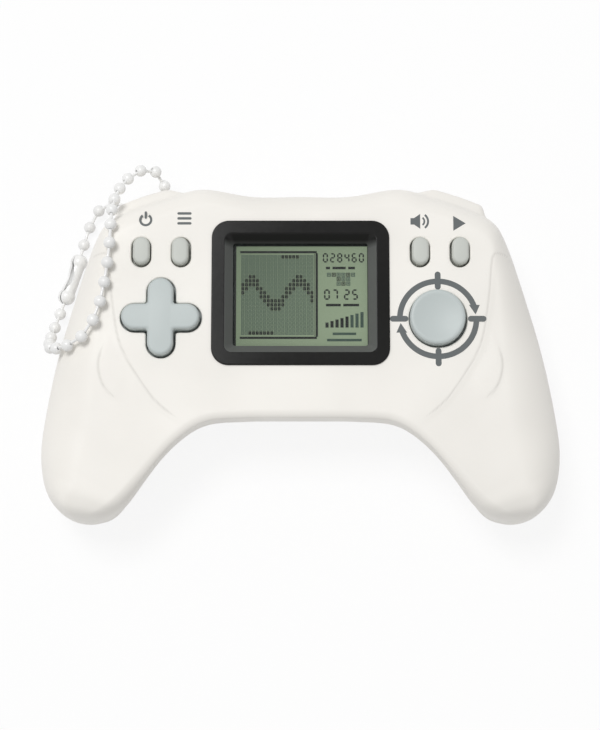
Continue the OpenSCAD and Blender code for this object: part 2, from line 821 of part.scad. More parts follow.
module battery_door() {
  color([0.93, 0.92, 0.9])
  translate([0, tray_y, 0])
  difference() {
    union() {
      linear_extrude(door_t) door_outline(0);
      for (x = [-1, 1]) {
        translate([x * ear_x, 0, 0]) cylinder(r = ear_r, h = ear_t);
      }
    }
    for (x = [-1, 1]) {
      translate([x * ear_x, 0, -1]) {
        cylinder(d = head_d, h = 2.3);
        cylinder(d = screw_d, h = ear_t + 2);
      }
    }
    for (k = [-4 : 4]) {
      translate([k * groove_step, 0, 0]) cube([groove_w, groove_l, 0.6], center = true);
    }
  }
}

module door_screws() {
  color([0.7, 0.7, 0.72])
  for (x = [-1, 1]) {
    translate([x * ear_x, tray_y, 0]) difference() {
      union() {
        translate([0, 0, 0.3]) cylinder(d = head_d - 0.4, h = 0.95);
        translate([0, 0, 1]) cylinder(d = screw_d - 0.2, h = door_screw_l);
      }
      cube([2.4, 0.6, 1.2], center = true);
      cube([0.6, 2.4, 1.2], center = true);
    }
  }
}

module battery_cells() {
  r = cell_d / 2;
  color([0.25, 0.3, 0.35])
  for (y = [-1, 1]) {
    translate([0, tray_y + y * cell_step / 2, cell_z]) rotate([0, y * 90, 0])
      translate([0, 0, cell_off - cell_l / 2]) rotate_extrude() polygon([
        [0, 0], [r - 0.6, 0], [r, 0.6], [r, cell_l - 1.6], [r - 0.6, cell_l - 1],
        [1.9, cell_l - 1], [1.9, cell_l], [0, cell_l]
      ]);
  }
}

// Tapered coil spring along Z, from radius ra at the bottom to rb at the top
module coil(ra, rb, length, wire, turns) {
  steps = 14 * turns;
  sides = 6;
  points = [
    for (k = [0 : steps], j = [0 : sides - 1])
      let (
        q = 360 * turns * k / steps,
        b = 360 * j / sides,
        r = ra + (rb - ra) * k / steps + wire / 2 * cos(b)
      )
      [r * cos(q), r * sin(q), wire / 2 + (length - wire) * k / steps + wire / 2 * sin(b)]
  ];
  sides_faces = [
    for (k = [0 : steps - 1], j = [0 : sides - 1])
      let (a = k * sides + j, b = k * sides + (j + 1) % sides)
      each [[a, a + sides, b + sides], [a, b + sides, b]]
  ];
  first = [for (j = [1 : sides - 2]) [0, j, j + 1]];
  last = [for (j = [1 : sides - 2]) [steps * sides, steps * sides + j + 1, steps * sides + j]];
  polyhedron(points = points, faces = concat(sides_faces, first, last));
}

module battery_springs() {
  color([0.8, 0.8, 0.8])
  for (y = [-1, 1]) {
    translate([0, tray_y + y * cell_step / 2, cell_z]) rotate([0, y * 90, 0]) {
      translate([0, 0, cell_off - cell_l / 2 - spring_l + 0.02])
        coil(spring_d / 2, spring_tip_d / 2, spring_l - 0.04, spring_wire, 3);
    }
  }
}

module battery_contacts() {
  color([0.8, 0.78, 0.7]) {
    for (y = [-1, 1]) {
      translate([touch - tray_l / 2, tray_y + y * cell_step / 2, 0]) {
        translate([0, -contact_w / 2, cell_z - contact_w / 2]) cube([contact_t, contact_w, contact_w]);
        translate([0, -1.2, cell_z]) cube([contact_t, 2.4, pcb_z0 - cell_z - 0.02]);
      }
    }
    translate([tray_l / 2 - touch - contact_t, tray_y, cell_z]) {
      translate([0, -(cell_step + contact_w) / 2, -contact_w / 2])
        cube([contact_t, cell_step + contact_w, contact_w]);
    }
  }
}

module buzzer() {
  color([0.8, 0.65, 0.3])
  translate(buzzer_place) {
    cylinder(d = buzzer_d, h = buzzer_t / 2);
    cylinder(d = buzzer_d * 0.7, h = buzzer_t);
  }
}

module case_screws() {
  color([0.7, 0.7, 0.72])
  for (b = bosses) {
    both_sides() translate([b[0][0], b[0][1], head_z1 - head_h - 0.02]) difference() {
      union() {
        cylinder(d = head_d, h = head_h);
        cylinder(d = screw_d, h = head_h + case_screw_l);
      }
      cube([2.6, 0.7, 1.4], center = true);
      cube([0.7, 2.6, 1.4], center = true);
    }
  }
}

module pcb_screws() {
  color([0.7, 0.7, 0.72])
  at_pcb_screws() translate([0, 0, pcb_z0 - 0.02]) {
    translate([0, 0, -0.9]) cylinder(d = screw_d * 1.6, h = 0.9);
    translate([0, 0, -0.1]) cylinder(d = screw_d * 0.8, h = pcb_t + pcb_screw_l);
  }
}

// Fine points along the chain's route, with the length reached at each
route_steps = 12;
route_last = len(chain_route) - 1;
function route_at(t) =
  let (i = min(route_last - 1, floor(t)))
  curve(
    chain_route[max(0, i - 1)],
    chain_route[i],
    chain_route[i + 1],
    chain_route[min(route_last, i + 2)],
    t - i
  );
route_fine = [for (k = [0 : route_last * route_steps]) route_at(k / route_steps)];
route_length = [
  for (
    k = 0, d = 0;
    k < len(route_fine);
    k = k + 1, d = k < len(route_fine) ? d + norm(route_fine[k] - route_fine[k - 1]) : d
  ) d
];
chain_l = route_length[len(route_length) - 1];
bead_count = round(chain_l / bead_pitch);
function along(d, axis) =
  lookup(d, [for (k = [0 : len(route_fine) - 1]) [route_length[k], route_fine[k][axis]]]);
bead_places = [
  for (k = [0 : bead_count])
    let (d = chain_l * k / bead_count)
    [along(d, 0) - lug_x, along(d, 1) + lug_y, along(d, 2) + lug_z]
];

// Turns the children's Z axis to run from a to b
module aim(a, b) {
  v = b - a;
  translate(a) rotate([0, acos(v[2] / norm(v)), atan2(v[1], v[0])]) children();
}

module chain_beads() {
  color([0.95, 0.95, 0.95])
  for (p = bead_places) {
    translate(p) sphere(d = bead_d);
  }
}

module chain_links() {
  gap = bead_d / 2 + 0.01;
  color([0.9, 0.9, 0.9])
  for (k = [0 : bead_count - 1]) {
    aim(bead_places[k], bead_places[k + 1]) translate([0, 0, gap]) {
      cylinder(d = link_d, h = norm(bead_places[k + 1] - bead_places[k]) - 2 * gap);
    }
  }
}

module chain_connector() {
  a = bead_places[0];
  b = bead_places[bead_count];
  span = norm(b - a);
  hole = bead_d + 0.3;
  color([0.93, 0.93, 0.93])
  aim(a, b) difference() {
    union() {
      sphere(lobe_r);
      translate([0, 0, span]) sphere(lobe_r);
      cylinder(r = lobe_r * 0.72, h = span);
    }
    sphere(d = hole);
    translate([0, 0, span]) sphere(d = hole);
    cylinder(r = lobe_r * 0.72 - connector_wall, h = span);
    translate([0, 0, -lobe_r]) cylinder(d = link_d + 1, h = span + 2 * lobe_r);
    rotate(-50) translate([-lobe_r * 2, -0.5, -lobe_r]) cube([lobe_r * 2, 1, span + 2 * lobe_r]);
  }
}

front_shell();
back_shell();
screen_bezel();
screen_window();
lcd_panel();
zebra_strips();
main_pcb();
chip_cap();
left_keypad();
right_keypad();
dpad_cap();
dpad_pivot();
action_button();
power_button();
menu_button();
sound_button();
play_button();
battery_door();
door_screws();
battery_cells();
battery_springs();
battery_contacts();
buzzer();
case_screws();
pcb_screws();
chain_beads();
chain_links();
chain_connector();
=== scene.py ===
"""Looks of the mini gamepad console on its ball chain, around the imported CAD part.

Lengths are in millimetres up to the moment a mesh is made, and in metres from there on.
"""

import math

import bmesh
import bpy
import numpy as np
from mathutils import Matrix


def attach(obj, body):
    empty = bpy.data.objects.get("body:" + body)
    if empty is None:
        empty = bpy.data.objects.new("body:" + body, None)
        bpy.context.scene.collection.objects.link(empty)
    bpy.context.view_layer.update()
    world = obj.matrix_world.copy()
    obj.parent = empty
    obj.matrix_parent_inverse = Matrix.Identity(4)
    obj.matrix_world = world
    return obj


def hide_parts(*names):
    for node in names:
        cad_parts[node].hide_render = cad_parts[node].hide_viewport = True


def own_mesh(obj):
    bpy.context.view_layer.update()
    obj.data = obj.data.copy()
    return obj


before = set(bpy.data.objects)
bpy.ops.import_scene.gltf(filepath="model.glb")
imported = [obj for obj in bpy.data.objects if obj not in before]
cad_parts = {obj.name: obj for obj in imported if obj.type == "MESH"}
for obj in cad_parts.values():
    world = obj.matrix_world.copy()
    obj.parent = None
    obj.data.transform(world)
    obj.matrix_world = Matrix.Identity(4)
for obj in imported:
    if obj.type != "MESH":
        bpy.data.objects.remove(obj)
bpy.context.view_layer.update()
scene = bpy.context.scene
MM = 0.001

# Angle in degrees over which an edge of a mesh stays sharp
SHARP = 35.0

# Sizes of the part, in millimetres
HALF_W, TOP_Y, HUMP_H, ARCH_Y, TIP_Y = 51.2, 31.8, 1.5, 14.2, 33.8
FACE_Z, PART_Z, WALL = 22.0, 11.0, 1.8
UNDER_Z = FACE_Z - WALL
FRONT_ROUND, BACK_ROUND, ARCH_ROUND, TIP_ROUND = 5.5, 8.0, 1.6, 3.0
FRONT_RISE, TIP_RISE, BAND_RISE, BAND_STEP = 0.9, 0.5, 0.53, 1.0
BUMPER_OUT, BUMPER_Z0, BUMPER_Z1 = 2.0, 7.5, 16.8

# Rib numbers between which the shoulder bumper rises and falls, and those where the skins of the housing end
BUMPER_FROM, BUMPER_TO = (2.4, 3.05), (4.35, 4.78)
OUTER_LAST, INNER_LAST, RIB_COUNT = 12.97, 11.6, 411

SCREEN_Y = 10.4
BEZEL_W, BEZEL_H, BEZEL_R, BEZEL_RIM = 34.8, 28.8, 3.4, 0.8
BEZEL_BAND, BEZEL_SLOPE, SLOPE_R = 2.55, 1.6, 1.4
BEZEL_Z1, WINDOW_Z0, WINDOW_Z1, PANEL_Z1 = 22.4, 19.4, 20.2, 19.2
PAD_X, PAD_Y, PAD_SPAN, PAD_ARM, PAD_GAP = -27.2, 5.4, 15.2, 5.0, 0.4
PAD_LIP_Z0, PAD_LIP_Z1, PAD_TOP, PIVOT_Z, SOCKET_R = 18.1, 19.2, 23.8, 19.0, 2.0
ACTION_X, ACTION_Y, ACTION_D, ACTION_TOP, ACTION_DISH = 26.8, 5.2, 10.8, 23.9, 0.5
KEY_Y, KEY_W, KEY_H, KEY_TOP = 18.5, 3.3, 5.4, 23.2
KEY_PLACES = {"power": -31.2, "menu": -23.4, "sound": 23.4, "play": 31.2}

# How far each loose cap leans to one side of its hole, in x and y
CAP_LEAN = {
    "pad": (-0.05, 0.04), "action": (-0.15, 0.12), "power": (0.06, 0.17), "menu": (-0.17, 0.08),
    "sound": (0.06, 0.17), "play": (0.09, 0.17),
}
BUTTON_GAP, LIP_W, LIP_Z0, LIP_Z1 = 0.3, 0.8, 18.7, 19.8
BEAD_R, BEAD_PITCH = 1.2, 3.9
CONNECTOR_WALL, CONNECTOR_PLAY, CONNECTOR_MOUTH, CONNECTOR_WAIST = 0.4, 0.15, 0.9, 0.82
LUG = np.array([-31.0, 30.4, 4.6])
LUG_R, LUG_HOLE, LUG_T = 2.85, 3.5, 1.4
TRAY_Y, TRAY_L, TRAY_H, TRAY_WALL, ROOF_Z0, ROOF_Z1 = 9.2, 49.7, 22.5, 1.2, 12.3, 13.3
DOOR_L, DOOR_H, DOOR_T, DOOR_GAP, EAR_X, EAR_R, EAR_T = 52.1, 24.9, 1.2, 0.3, 28.45, 3.4, 2.4
SCREW_D, HEAD_D, HEAD_Z1, BOSS_R, SCREW_END = 2.2, 4.2, 5.5, 2.4, 17.0
BUZZER_X, BUZZER_Y, BUZZER_Z, BUZZER_D = 39.2, -12.5, 4.4, 11.4
SOUND_STEP, SOUND_D = 2.6, 1.4
PCB_Z1, PCB_LOW, PCB_EDGE, PCB_GAP = 15.2, 8.4, 2.4, 0.6
PCB_SCREW_X, PCB_SCREW_Y = 18.3, (-6.0, 25.6)
MAT_Z1, POST_D, POST_TOP = 15.9, 3.0, 17.0
DOME_Z0, DOME_R, DOME_FLARE, DOME_ROUND, DOME_OUT, DOME_PLAY = 15.55, 1.6, 0.7, 0.25, 5.2, 0.3

# Where the step over the band starts, bends and ends, past BAND_RISE
STEP_AT = np.array([0, 0.004, 0.02])

# Ends of the ribs that carry the housing, from the top centre round the shoulder to the tip of the grip
TIP_X = HALF_W - 8.8
ARCH_W = HALF_W - 27.2
OUTER_ENDS = np.array([
    [41.7 - HALF_W, TOP_Y], [0, TOP_Y], [HALF_W - 41.7, TOP_Y], [HALF_W - 31.6, TOP_Y + HUMP_H],
    [HALF_W - 24.7, TOP_Y - 0.3], [HALF_W - 18, TOP_Y - 2.5], [HALF_W - 12.6, TOP_Y - 5.3],
    [HALF_W - 9.7, TOP_Y - 10.2], [HALF_W - 6.2, TOP_Y - 21], [HALF_W - 3.2, TOP_Y - 31.8],
    [HALF_W - 1, 22.8 - TIP_Y], [HALF_W, 13.6 - TIP_Y], [HALF_W - 1.2, 6.3 - TIP_Y],
    [HALF_W - 4.5, 1.8 - TIP_Y], [TIP_X, -TIP_Y], [TIP_X - 3.8, 0.4 - TIP_Y],
])
INNER_ENDS = np.array([
    [-0.19 * ARCH_W, -ARCH_Y], [0, -ARCH_Y], [0.19 * ARCH_W, -ARCH_Y], [0.37 * ARCH_W, -ARCH_Y],
    [0.5 * ARCH_W, -ARCH_Y - 0.1], [0.625 * ARCH_W, -ARCH_Y - 0.2], [0.74 * ARCH_W, -ARCH_Y - 0.6],
    [0.86 * ARCH_W, -ARCH_Y - 1.8], [ARCH_W, -ARCH_Y - 4.3], [HALF_W - 24, 12 - TIP_Y],
    [HALF_W - 20.8, 7.8 - TIP_Y], [HALF_W - 17.9, 3.9 - TIP_Y], [HALF_W - 15.4, 1.6 - TIP_Y],
    [TIP_X - 3.8, 0.4 - TIP_Y], [TIP_X, -TIP_Y], [HALF_W - 4.5, 1.8 - TIP_Y],
])
FRONT_SHARE = np.array([1, 1, 1, 1, 1, 1, 1, 1, 0.99, 0.98, 0.97, 0.955, 0.91, 0.68, 0, -0.68])
BACK_SHARE = np.array([1, 1, 1, 1, 1, 1, 1, 1, 0.99, 0.975, 0.955, 0.92, 0.83, 0.56, 0, -0.56])

# Moulded lines of the face, right half: the crease between face and grip, and the arc of the thumb rest
CREASE = np.array([
    [43.4, 17.8], [40.3, 18.3], [38.0, 18.1], [37.4, 15.5], [37.0, 11.0], [36.4, 6.5], [35.6, 2.0],
    [34.4, -1.4], [32.6, -4.6], [30.4, -8.0], [28.2, -10.8], [26.0, -12.8], [23.8, -14.4], [21.4, -16.2],
])
REST_ARC = np.array([
    [36.0, 4.4], [37.6, 1.6], [38.9, -1.4], [39.3, -3.8], [38.9, -6.3], [37.9, -8.5], [36.4, -10.0],
    [34.0, -11.0], [31.0, -11.4],
])
GROOVE_W = 0.2

# Route of the chain from one end bead to the other, in metres
CHAIN_ROUTE = np.array([
    [-0.048, 0.0138, 0.00195], [-0.0494, 0.0094, 0.0026], [-0.0502, 0.0056, 0.0056],
    [-0.0503, 0.0028, 0.0098],
    [-0.0495, 0.0008, 0.0146], [-0.047, 0.0, 0.0192], [-0.0432, 0.001, 0.0224], [-0.0404, 0.0044, 0.0236],
    [-0.0388, 0.009, 0.0235], [-0.0378, 0.015, 0.0235], [-0.0372, 0.021, 0.0236], [-0.0372, 0.026, 0.022],
    [-0.0368, 0.031, 0.0176], [-0.035, 0.0354, 0.0136], [-0.032, 0.0382, 0.0108], [-0.029, 0.0382, 0.008],
    [-0.0278, 0.0354, 0.0058], [-0.0286, 0.032, 0.0049], [-0.031, 0.0304, 0.0046], [-0.0344, 0.0316, 0.0042],
    [-0.0376, 0.0334, 0.0036], [-0.041, 0.0326, 0.0024], [-0.0434, 0.029, 0.0014], [-0.0446, 0.0252, 0.0015],
    [-0.0456, 0.021, 0.00195],
])


# Curves and outlines


def ease(a, b, t):
    """Smooth step: 0 up to a, 1 from b on, and 3u^2 - 2u^3 between them."""
    u = np.clip((t - a) / (b - a), 0, 1)
    return u * u * (3 - 2 * u)


def through_keys(keys, s):
    """Catmull-Rom curve at the numbers s, through keys with one more before the first and after the last."""
    i = np.clip(np.floor(s).astype(int), 0, len(keys) - 4)
    t = s - i
    if keys.ndim > 1:
        t = t[..., None]
    a, b, c, d = keys[i], keys[i + 1], keys[i + 2], keys[i + 3]
    return b + 0.5 * t * (c - a + t * (2 * a - 5 * b + 4 * c - d + t * (3 * (b - c) + d - a)))


def fine_line(keys, count):
    """A polyline of count points on the smooth curve through keys, which starts and ends on the end keys."""
    padded = np.concatenate([keys[:1], keys, keys[-1:]])
    return through_keys(padded, np.linspace(0, len(keys) - 1, count))


def side_distance(x, y, line):
    """Distance of each point from a polyline, positive to the left of its direction of travel."""
    near = np.stack([x, y], -1).reshape(-1, 1, 2) - line[None, :, :]
    k = np.argmin((near ** 2).sum(-1), axis=1)
    along = np.gradient(line, axis=0)[k]
    off = near[np.arange(len(k)), k]
    turn = along[:, 0] * off[:, 1] - along[:, 1] * off[:, 0]
    return (np.sign(turn) * np.sqrt((off ** 2).sum(-1))).reshape(x.shape), k.reshape(x.shape)


def circle_loop(d, count=96):
    """Closed loop on a circle of diameter d."""
    q = np.linspace(0, 2 * np.pi, count, endpoint=False)
    return d / 2 * np.stack([np.cos(q), np.sin(q)], -1)


def box_loop(w, h, r, corner=12):
    """Closed loop on a w by h rectangle: a quarter circle of radius r round each corner's centre."""
    q = np.linspace(0, np.pi / 2, corner)[None, :] + np.arange(4)[:, None] * np.pi / 2
    sx = np.array([1, -1, -1, 1])[:, None] * (w / 2 - r)
    sy = np.array([1, 1, -1, -1])[:, None] * (h / 2 - r)
    return np.stack([sx + r * np.cos(q), sy + r * np.sin(q)], -1).reshape(-1, 2)


def pill_loop(w, h, half=24):
    """Closed loop on an upright bar with round ends: two half circles, (h - w) apart."""
    q = np.linspace(0, np.pi, half)[None, :] + np.arange(2)[:, None] * np.pi
    y = np.array([1, -1])[:, None] * (h - w) / 2
    return np.stack([w / 2 * np.cos(q), y + w / 2 * np.sin(q)], -1).reshape(-1, 2)


def cross_loop(span, arm, r=0.5, half=20, inner=5):
    """Closed loop on a cross of two bars: four half circles, joined by small inside rounds."""
    q = np.linspace(-np.pi / 2, np.pi / 2, half)
    end = np.stack([span / 2 - arm / 2 + arm / 2 * np.cos(q), arm / 2 * np.sin(q)], -1)
    p = np.linspace(-np.pi / 2, -np.pi, inner)
    corner = np.stack([arm / 2 + r + r * np.cos(p), arm / 2 + r + r * np.sin(p)], -1)
    quarter = np.concatenate([end, corner])
    turns = []
    for k in range(4):
        c, s = round(math.cos(k * math.pi / 2)), round(math.sin(k * math.pi / 2))
        turns.append(quarter @ np.array([[c, s], [-s, c]]))
    return np.concatenate(turns)


# Meshes


def quads(rows, columns, wrap):
    """Corner numbers of the quads of a grid of points: its rows are closed, and its columns if it wraps."""
    r = np.arange(rows if wrap else rows - 1)[:, None]
    c = np.arange(columns)[None, :]
    this, ahead = r * columns, (r + 1) % rows * columns
    c2 = (c + 1) % columns
    return np.stack([this + c, this + c2, ahead + c2, ahead + c], -1).reshape(-1, 4)


def stack(loops, caps=True, wrap=False):
    """Points and faces of a skin over loops of equal count, with flat caps at its ends unless it wraps."""
    rows, columns = loops.shape[:2]
    faces = quads(rows, columns, wrap).tolist()
    if caps and not wrap:
        faces.append(list(range(columns))[::-1])
        faces.append(list(range((rows - 1) * columns, rows * columns)))
    return loops.reshape(-1, 3), faces


def at_height(plan, z, x=0.0, y=0.0):
    """A plan's points about (x, y), all at the height z."""
    return np.column_stack([plan[:, 0] + x, plan[:, 1] + y, np.full(len(plan), z)])


def levels(loop_at, rows, x=0.0, y=0.0):
    """Loops of a turned or extruded form: loop_at(grow) in plan, at each (grow, z) of rows."""
    return np.stack([at_height(loop_at(grow), z, x, y) for grow, z in rows])


def quarter_round(r, top, q):
    """Rows of an edge that turns in by r up to the height top: (grow, z) at each angle of q."""
    return [(-r * (1 - math.cos(b)), top - r + r * math.sin(b)) for b in q]


def join(parts):
    """One set of points and faces from several."""
    points, faces, start = [], [], 0
    for p, f in parts:
        points.append(p)
        faces += [[i + start for i in face] for face in f]
        start += len(p)
    return np.concatenate(points), faces


def make_object(name, points, faces, sharp=SHARP):
    """Mesh object at the origin from points in millimetres, smooth but for edges over the angle sharp."""
    mesh = bpy.data.meshes.new(name)
    mesh.from_pydata((np.asarray(points) * MM).tolist(), [], faces)
    tidy(mesh, True, sharp)
    obj = bpy.data.objects.new(name, mesh)
    scene.collection.objects.link(obj)
    return obj


def tidy(mesh, recalc, sharp):
    """Merges doubled points, turns faces outwards where asked, and marks sharp edges."""
    bm = bmesh.new()
    bm.from_mesh(mesh)
    bmesh.ops.remove_doubles(bm, verts=bm.verts, dist=1e-7)
    if recalc:
        bmesh.ops.recalc_face_normals(bm, faces=bm.faces)
    bm.to_mesh(mesh)
    bm.free()
    mesh.shade_smooth()
    mesh.set_sharp_from_angle(angle=math.radians(sharp))
    mesh.update()


def piece(name, points, faces, body, slot, material, nodes=(), sharp=SHARP):
    """A finished piece: its mesh, its finish, its body and the CAD nodes that it stands for."""
    return dress(make_object(name, points, faces, sharp), body, material, nodes)


def dress(obj, body, material, nodes=()):
    """Gives a mesh object its finish, its body and the CAD nodes that it stands for."""
    obj.data.materials.clear()
    obj.data.materials.append(material)
    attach(obj, body)
    if nodes:
        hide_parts(*nodes)
    return obj


def carve(obj, cutter_parts):
    """Cuts closed forms out of a mesh object and keeps the result as its mesh."""
    cutter = make_object(obj.name + "_cutter", *join(cutter_parts))
    step = obj.modifiers.new("carve", "BOOLEAN")
    step.operation = "DIFFERENCE"
    step.solver = "EXACT"
    step.object = cutter
    graph = bpy.context.evaluated_depsgraph_get()
    result = bpy.data.meshes.new_from_object(obj.evaluated_get(graph))
    old = obj.data
    obj.modifiers.remove(step)
    obj.data = result
    result.name = obj.name
    bpy.data.meshes.remove(old)
    bpy.data.objects.remove(cutter)
    tidy(result, False, SHARP)


# Shader groups and materials


def new_group(name, inputs, outputs):
    """An empty shader node group with named sockets; each is (name, kind, default value)."""
    tree = bpy.data.node_groups.new(name, "ShaderNodeTree")
    for label, kind, value in inputs:
        socket = tree.interface.new_socket(label, in_out="INPUT", socket_type="NodeSocket" + kind)
        socket.default_value = value
    for label, kind in outputs:
        tree.interface.new_socket(label, in_out="OUTPUT", socket_type="NodeSocket" + kind)
    return tree, tree.nodes.new("NodeGroupInput"), tree.nodes.new("NodeGroupOutput")


def feed(tree, value, socket):
    """Puts a plain number or colour on a socket, or links another socket to it."""
    if isinstance(value, (int, float, tuple)):
        socket.default_value = value
    else:
        tree.links.new(value, socket)


def math_node(tree, operation, *values):
    """A Math node on sockets or plain numbers; its output."""
    node = tree.nodes.new("ShaderNodeMath")
    node.operation = operation
    for value, socket in zip(values, node.inputs):
        feed(tree, value, socket)
    return node.outputs[0]


def noise_node(tree, vector, scale, detail=2.0, rough=0.5):
    """A Noise Texture of the given scale, as a number or a socket; its value output."""
    node = tree.nodes.new("ShaderNodeTexNoise")
    node.inputs["Detail"].default_value = detail
    node.inputs["Roughness"].default_value = rough
    tree.links.new(vector, node.inputs["Vector"])
    feed(tree, scale, node.inputs["Scale"])
    return node.outputs[0]


def blend_colour(tree, factor, a, b):
    """Mixes two colour sockets or plain colours by a factor socket; the result socket."""
    node = tree.nodes.new("ShaderNodeMix")
    node.data_type = "RGBA"
    tree.links.new(factor, node.inputs[0])
    feed(tree, a, node.inputs[6])
    feed(tree, b, node.inputs[7])
    return node.outputs[2]


def range_node(tree, value, from_min, from_max, to_min, to_max):
    """A Map Range node from plain or linked limits; its result."""
    node = tree.nodes.new("ShaderNodeMapRange")
    for given, socket in zip((value, from_min, from_max, to_min, to_max), node.inputs):
        feed(tree, given, socket)
    return node.outputs[0]


def object_coords(tree):
    """The Object output of a Texture Coordinate node."""
    return tree.nodes.new("ShaderNodeTexCoord").outputs["Object"]


def moulded_grain():
    """Moulded plastic: a fine spark-eroded grain, broad faint clouds of tone, and gloss that follows both."""
    tree, gin, gout = new_group(
        "moulded_grain",
        [("Colour", "Color", (0.8, 0.8, 0.8, 1)), ("Cloud", "Color", (0.7, 0.7, 0.7, 1)),
         ("Grain", "Float", 3000.0), ("Rough low", "Float", 0.4), ("Rough high", "Float", 0.5)],
        [("Colour", "Color"), ("Roughness", "Float"), ("Height", "Float")],
    )
    at = object_coords(tree)
    fine = noise_node(tree, at, gin.outputs["Grain"], 3.0, 0.6)
    broad = noise_node(tree, at, 55.0, 2.0, 0.5)
    cloud = range_node(tree, broad, 0.35, 0.75, 0.0, 1.0)
    colour = blend_colour(tree, cloud, gin.outputs["Colour"], gin.outputs["Cloud"])
    tree.links.new(colour, gout.inputs["Colour"])
    mixed = math_node(tree, "MULTIPLY_ADD", broad, 0.5, math_node(tree, "MULTIPLY", fine, 0.5))
    rough = range_node(tree, mixed, 0.35, 0.65, gin.outputs["Rough low"], gin.outputs["Rough high"])
    tree.links.new(rough, gout.inputs["Roughness"])
    tree.links.new(fine, gout.inputs["Height"])
    return tree


def dust_specks():
    """Sparse specks of lint: small discs in the Voronoi cells whose random number is high."""
    tree, gin, gout = new_group(
        "dust_specks",
        [("Spread", "Float", 600.0), ("Share", "Float", 0.97), ("Size", "Float", 0.12)],
        [("Mask", "Float")],
    )
    cell = tree.nodes.new("ShaderNodeTexVoronoi")
    tree.links.new(object_coords(tree), cell.inputs["Vector"])
    tree.links.new(gin.outputs["Spread"], cell.inputs["Scale"])
    near = math_node(tree, "LESS_THAN", cell.outputs["Distance"], gin.outputs["Size"])
    red = tree.nodes.new("ShaderNodeSeparateColor")
    tree.links.new(cell.outputs["Color"], red.inputs[0])
    rare = math_node(tree, "GREATER_THAN", red.outputs[0], gin.outputs["Share"])
    tree.links.new(math_node(tree, "MULTIPLY", near, rare), gout.inputs["Mask"])
    return tree


def drawn_metal():
    """Plated metal: streaks along one axis for the tone and the gloss, with a faint tarnish in clouds."""
    tree, gin, gout = new_group(
        "drawn_metal",
        [("Bright", "Color", (0.8, 0.8, 0.8, 1)), ("Dull", "Color", (0.6, 0.6, 0.6, 1)),
         ("Rough low", "Float", 0.2), ("Rough high", "Float", 0.4)],
        [("Colour", "Color"), ("Roughness", "Float"), ("Height", "Float")],
    )
    stretch = tree.nodes.new("ShaderNodeMapping")
    stretch.inputs["Scale"].default_value = (1.0, 8.0, 8.0)
    tree.links.new(object_coords(tree), stretch.inputs["Vector"])
    streak = noise_node(tree, stretch.outputs[0], 500.0, 2.0, 0.6)
    cloud = noise_node(tree, object_coords(tree), 300.0, 2.0, 0.5)
    tone = math_node(tree, "MULTIPLY_ADD", cloud, 0.6, math_node(tree, "MULTIPLY", streak, 0.4))
    share = range_node(tree, tone, 0.3, 0.7, 0.0, 1.0)
    colour = blend_colour(tree, share, gin.outputs["Bright"], gin.outputs["Dull"])
    tree.links.new(colour, gout.inputs["Colour"])
    rough = range_node(tree, tone, 0.3, 0.7, gin.outputs["Rough low"], gin.outputs["Rough high"])
    tree.links.new(rough, gout.inputs["Roughness"])
    tree.links.new(streak, gout.inputs["Height"])
    return tree


def srgb(r, g, b):
    """A colour from 0 to 255 as the linear values that the shader takes."""
    v = np.array([r, g, b]) / 255
    lin = np.where(v <= 0.04045, v / 12.92, ((v + 0.055) / 1.055) ** 2.4)
    return (float(lin[0]), float(lin[1]), float(lin[2]), 1.0)


def new_material(name):
    """A node material with its Principled shader; returns the material, its tree and the shader."""
    mat = bpy.data.materials.new(name)
    mat.use_nodes = True
    return mat, mat.node_tree, mat.node_tree.nodes["Principled BSDF"]


def use_group(tree, group, values):
    """Places a node group with its own values."""
    node = tree.nodes.new("ShaderNodeGroup")
    node.node_tree = group
    for label, value in values.items():
        node.inputs[label].default_value = value
    return node


def bump(tree, shader, height, strength, distance):
    """A Bump node from a height socket into the shader's Normal, on top of any that is there."""
    node = tree.nodes.new("ShaderNodeBump")
    node.inputs["Strength"].default_value = strength
    node.inputs["Distance"].default_value = distance
    tree.links.new(height, node.inputs["Height"])
    for link in shader.inputs["Normal"].links:
        tree.links.new(link.from_socket, node.inputs["Normal"])
    tree.links.new(node.outputs[0], shader.inputs["Normal"])


def grained(name, colour, cloud, rough, grain=3000.0, strength=0.15, depth=2e-5, specular=0.5, coat=0.0):
    """Material of moulded plastic, rubber or paint from the moulded_grain group."""
    mat, tree, shader = new_material(name)
    node = use_group(tree, GRAIN, {
        "Colour": colour, "Cloud": cloud, "Grain": grain, "Rough low": rough[0], "Rough high": rough[1]})
    tree.links.new(node.outputs["Colour"], shader.inputs["Base Color"])
    tree.links.new(node.outputs["Roughness"], shader.inputs["Roughness"])
    bump(tree, shader, node.outputs["Height"], strength, depth)
    shader.inputs["Specular IOR Level"].default_value = specular
    shader.inputs["Coat Weight"].default_value = coat
    shader.inputs["Coat Roughness"].default_value = 0.08
    return mat


def metal(name, bright, dull, rough):
    """Material of plated metal from the drawn_metal group."""
    mat, tree, shader = new_material(name)
    node = use_group(tree, METAL, {
        "Bright": bright, "Dull": dull, "Rough low": rough[0], "Rough high": rough[1]})
    tree.links.new(node.outputs["Colour"], shader.inputs["Base Color"])
    tree.links.new(node.outputs["Roughness"], shader.inputs["Roughness"])
    bump(tree, shader, node.outputs["Height"], 0.1, 1e-5)
    shader.inputs["Metallic"].default_value = 1.0
    return mat


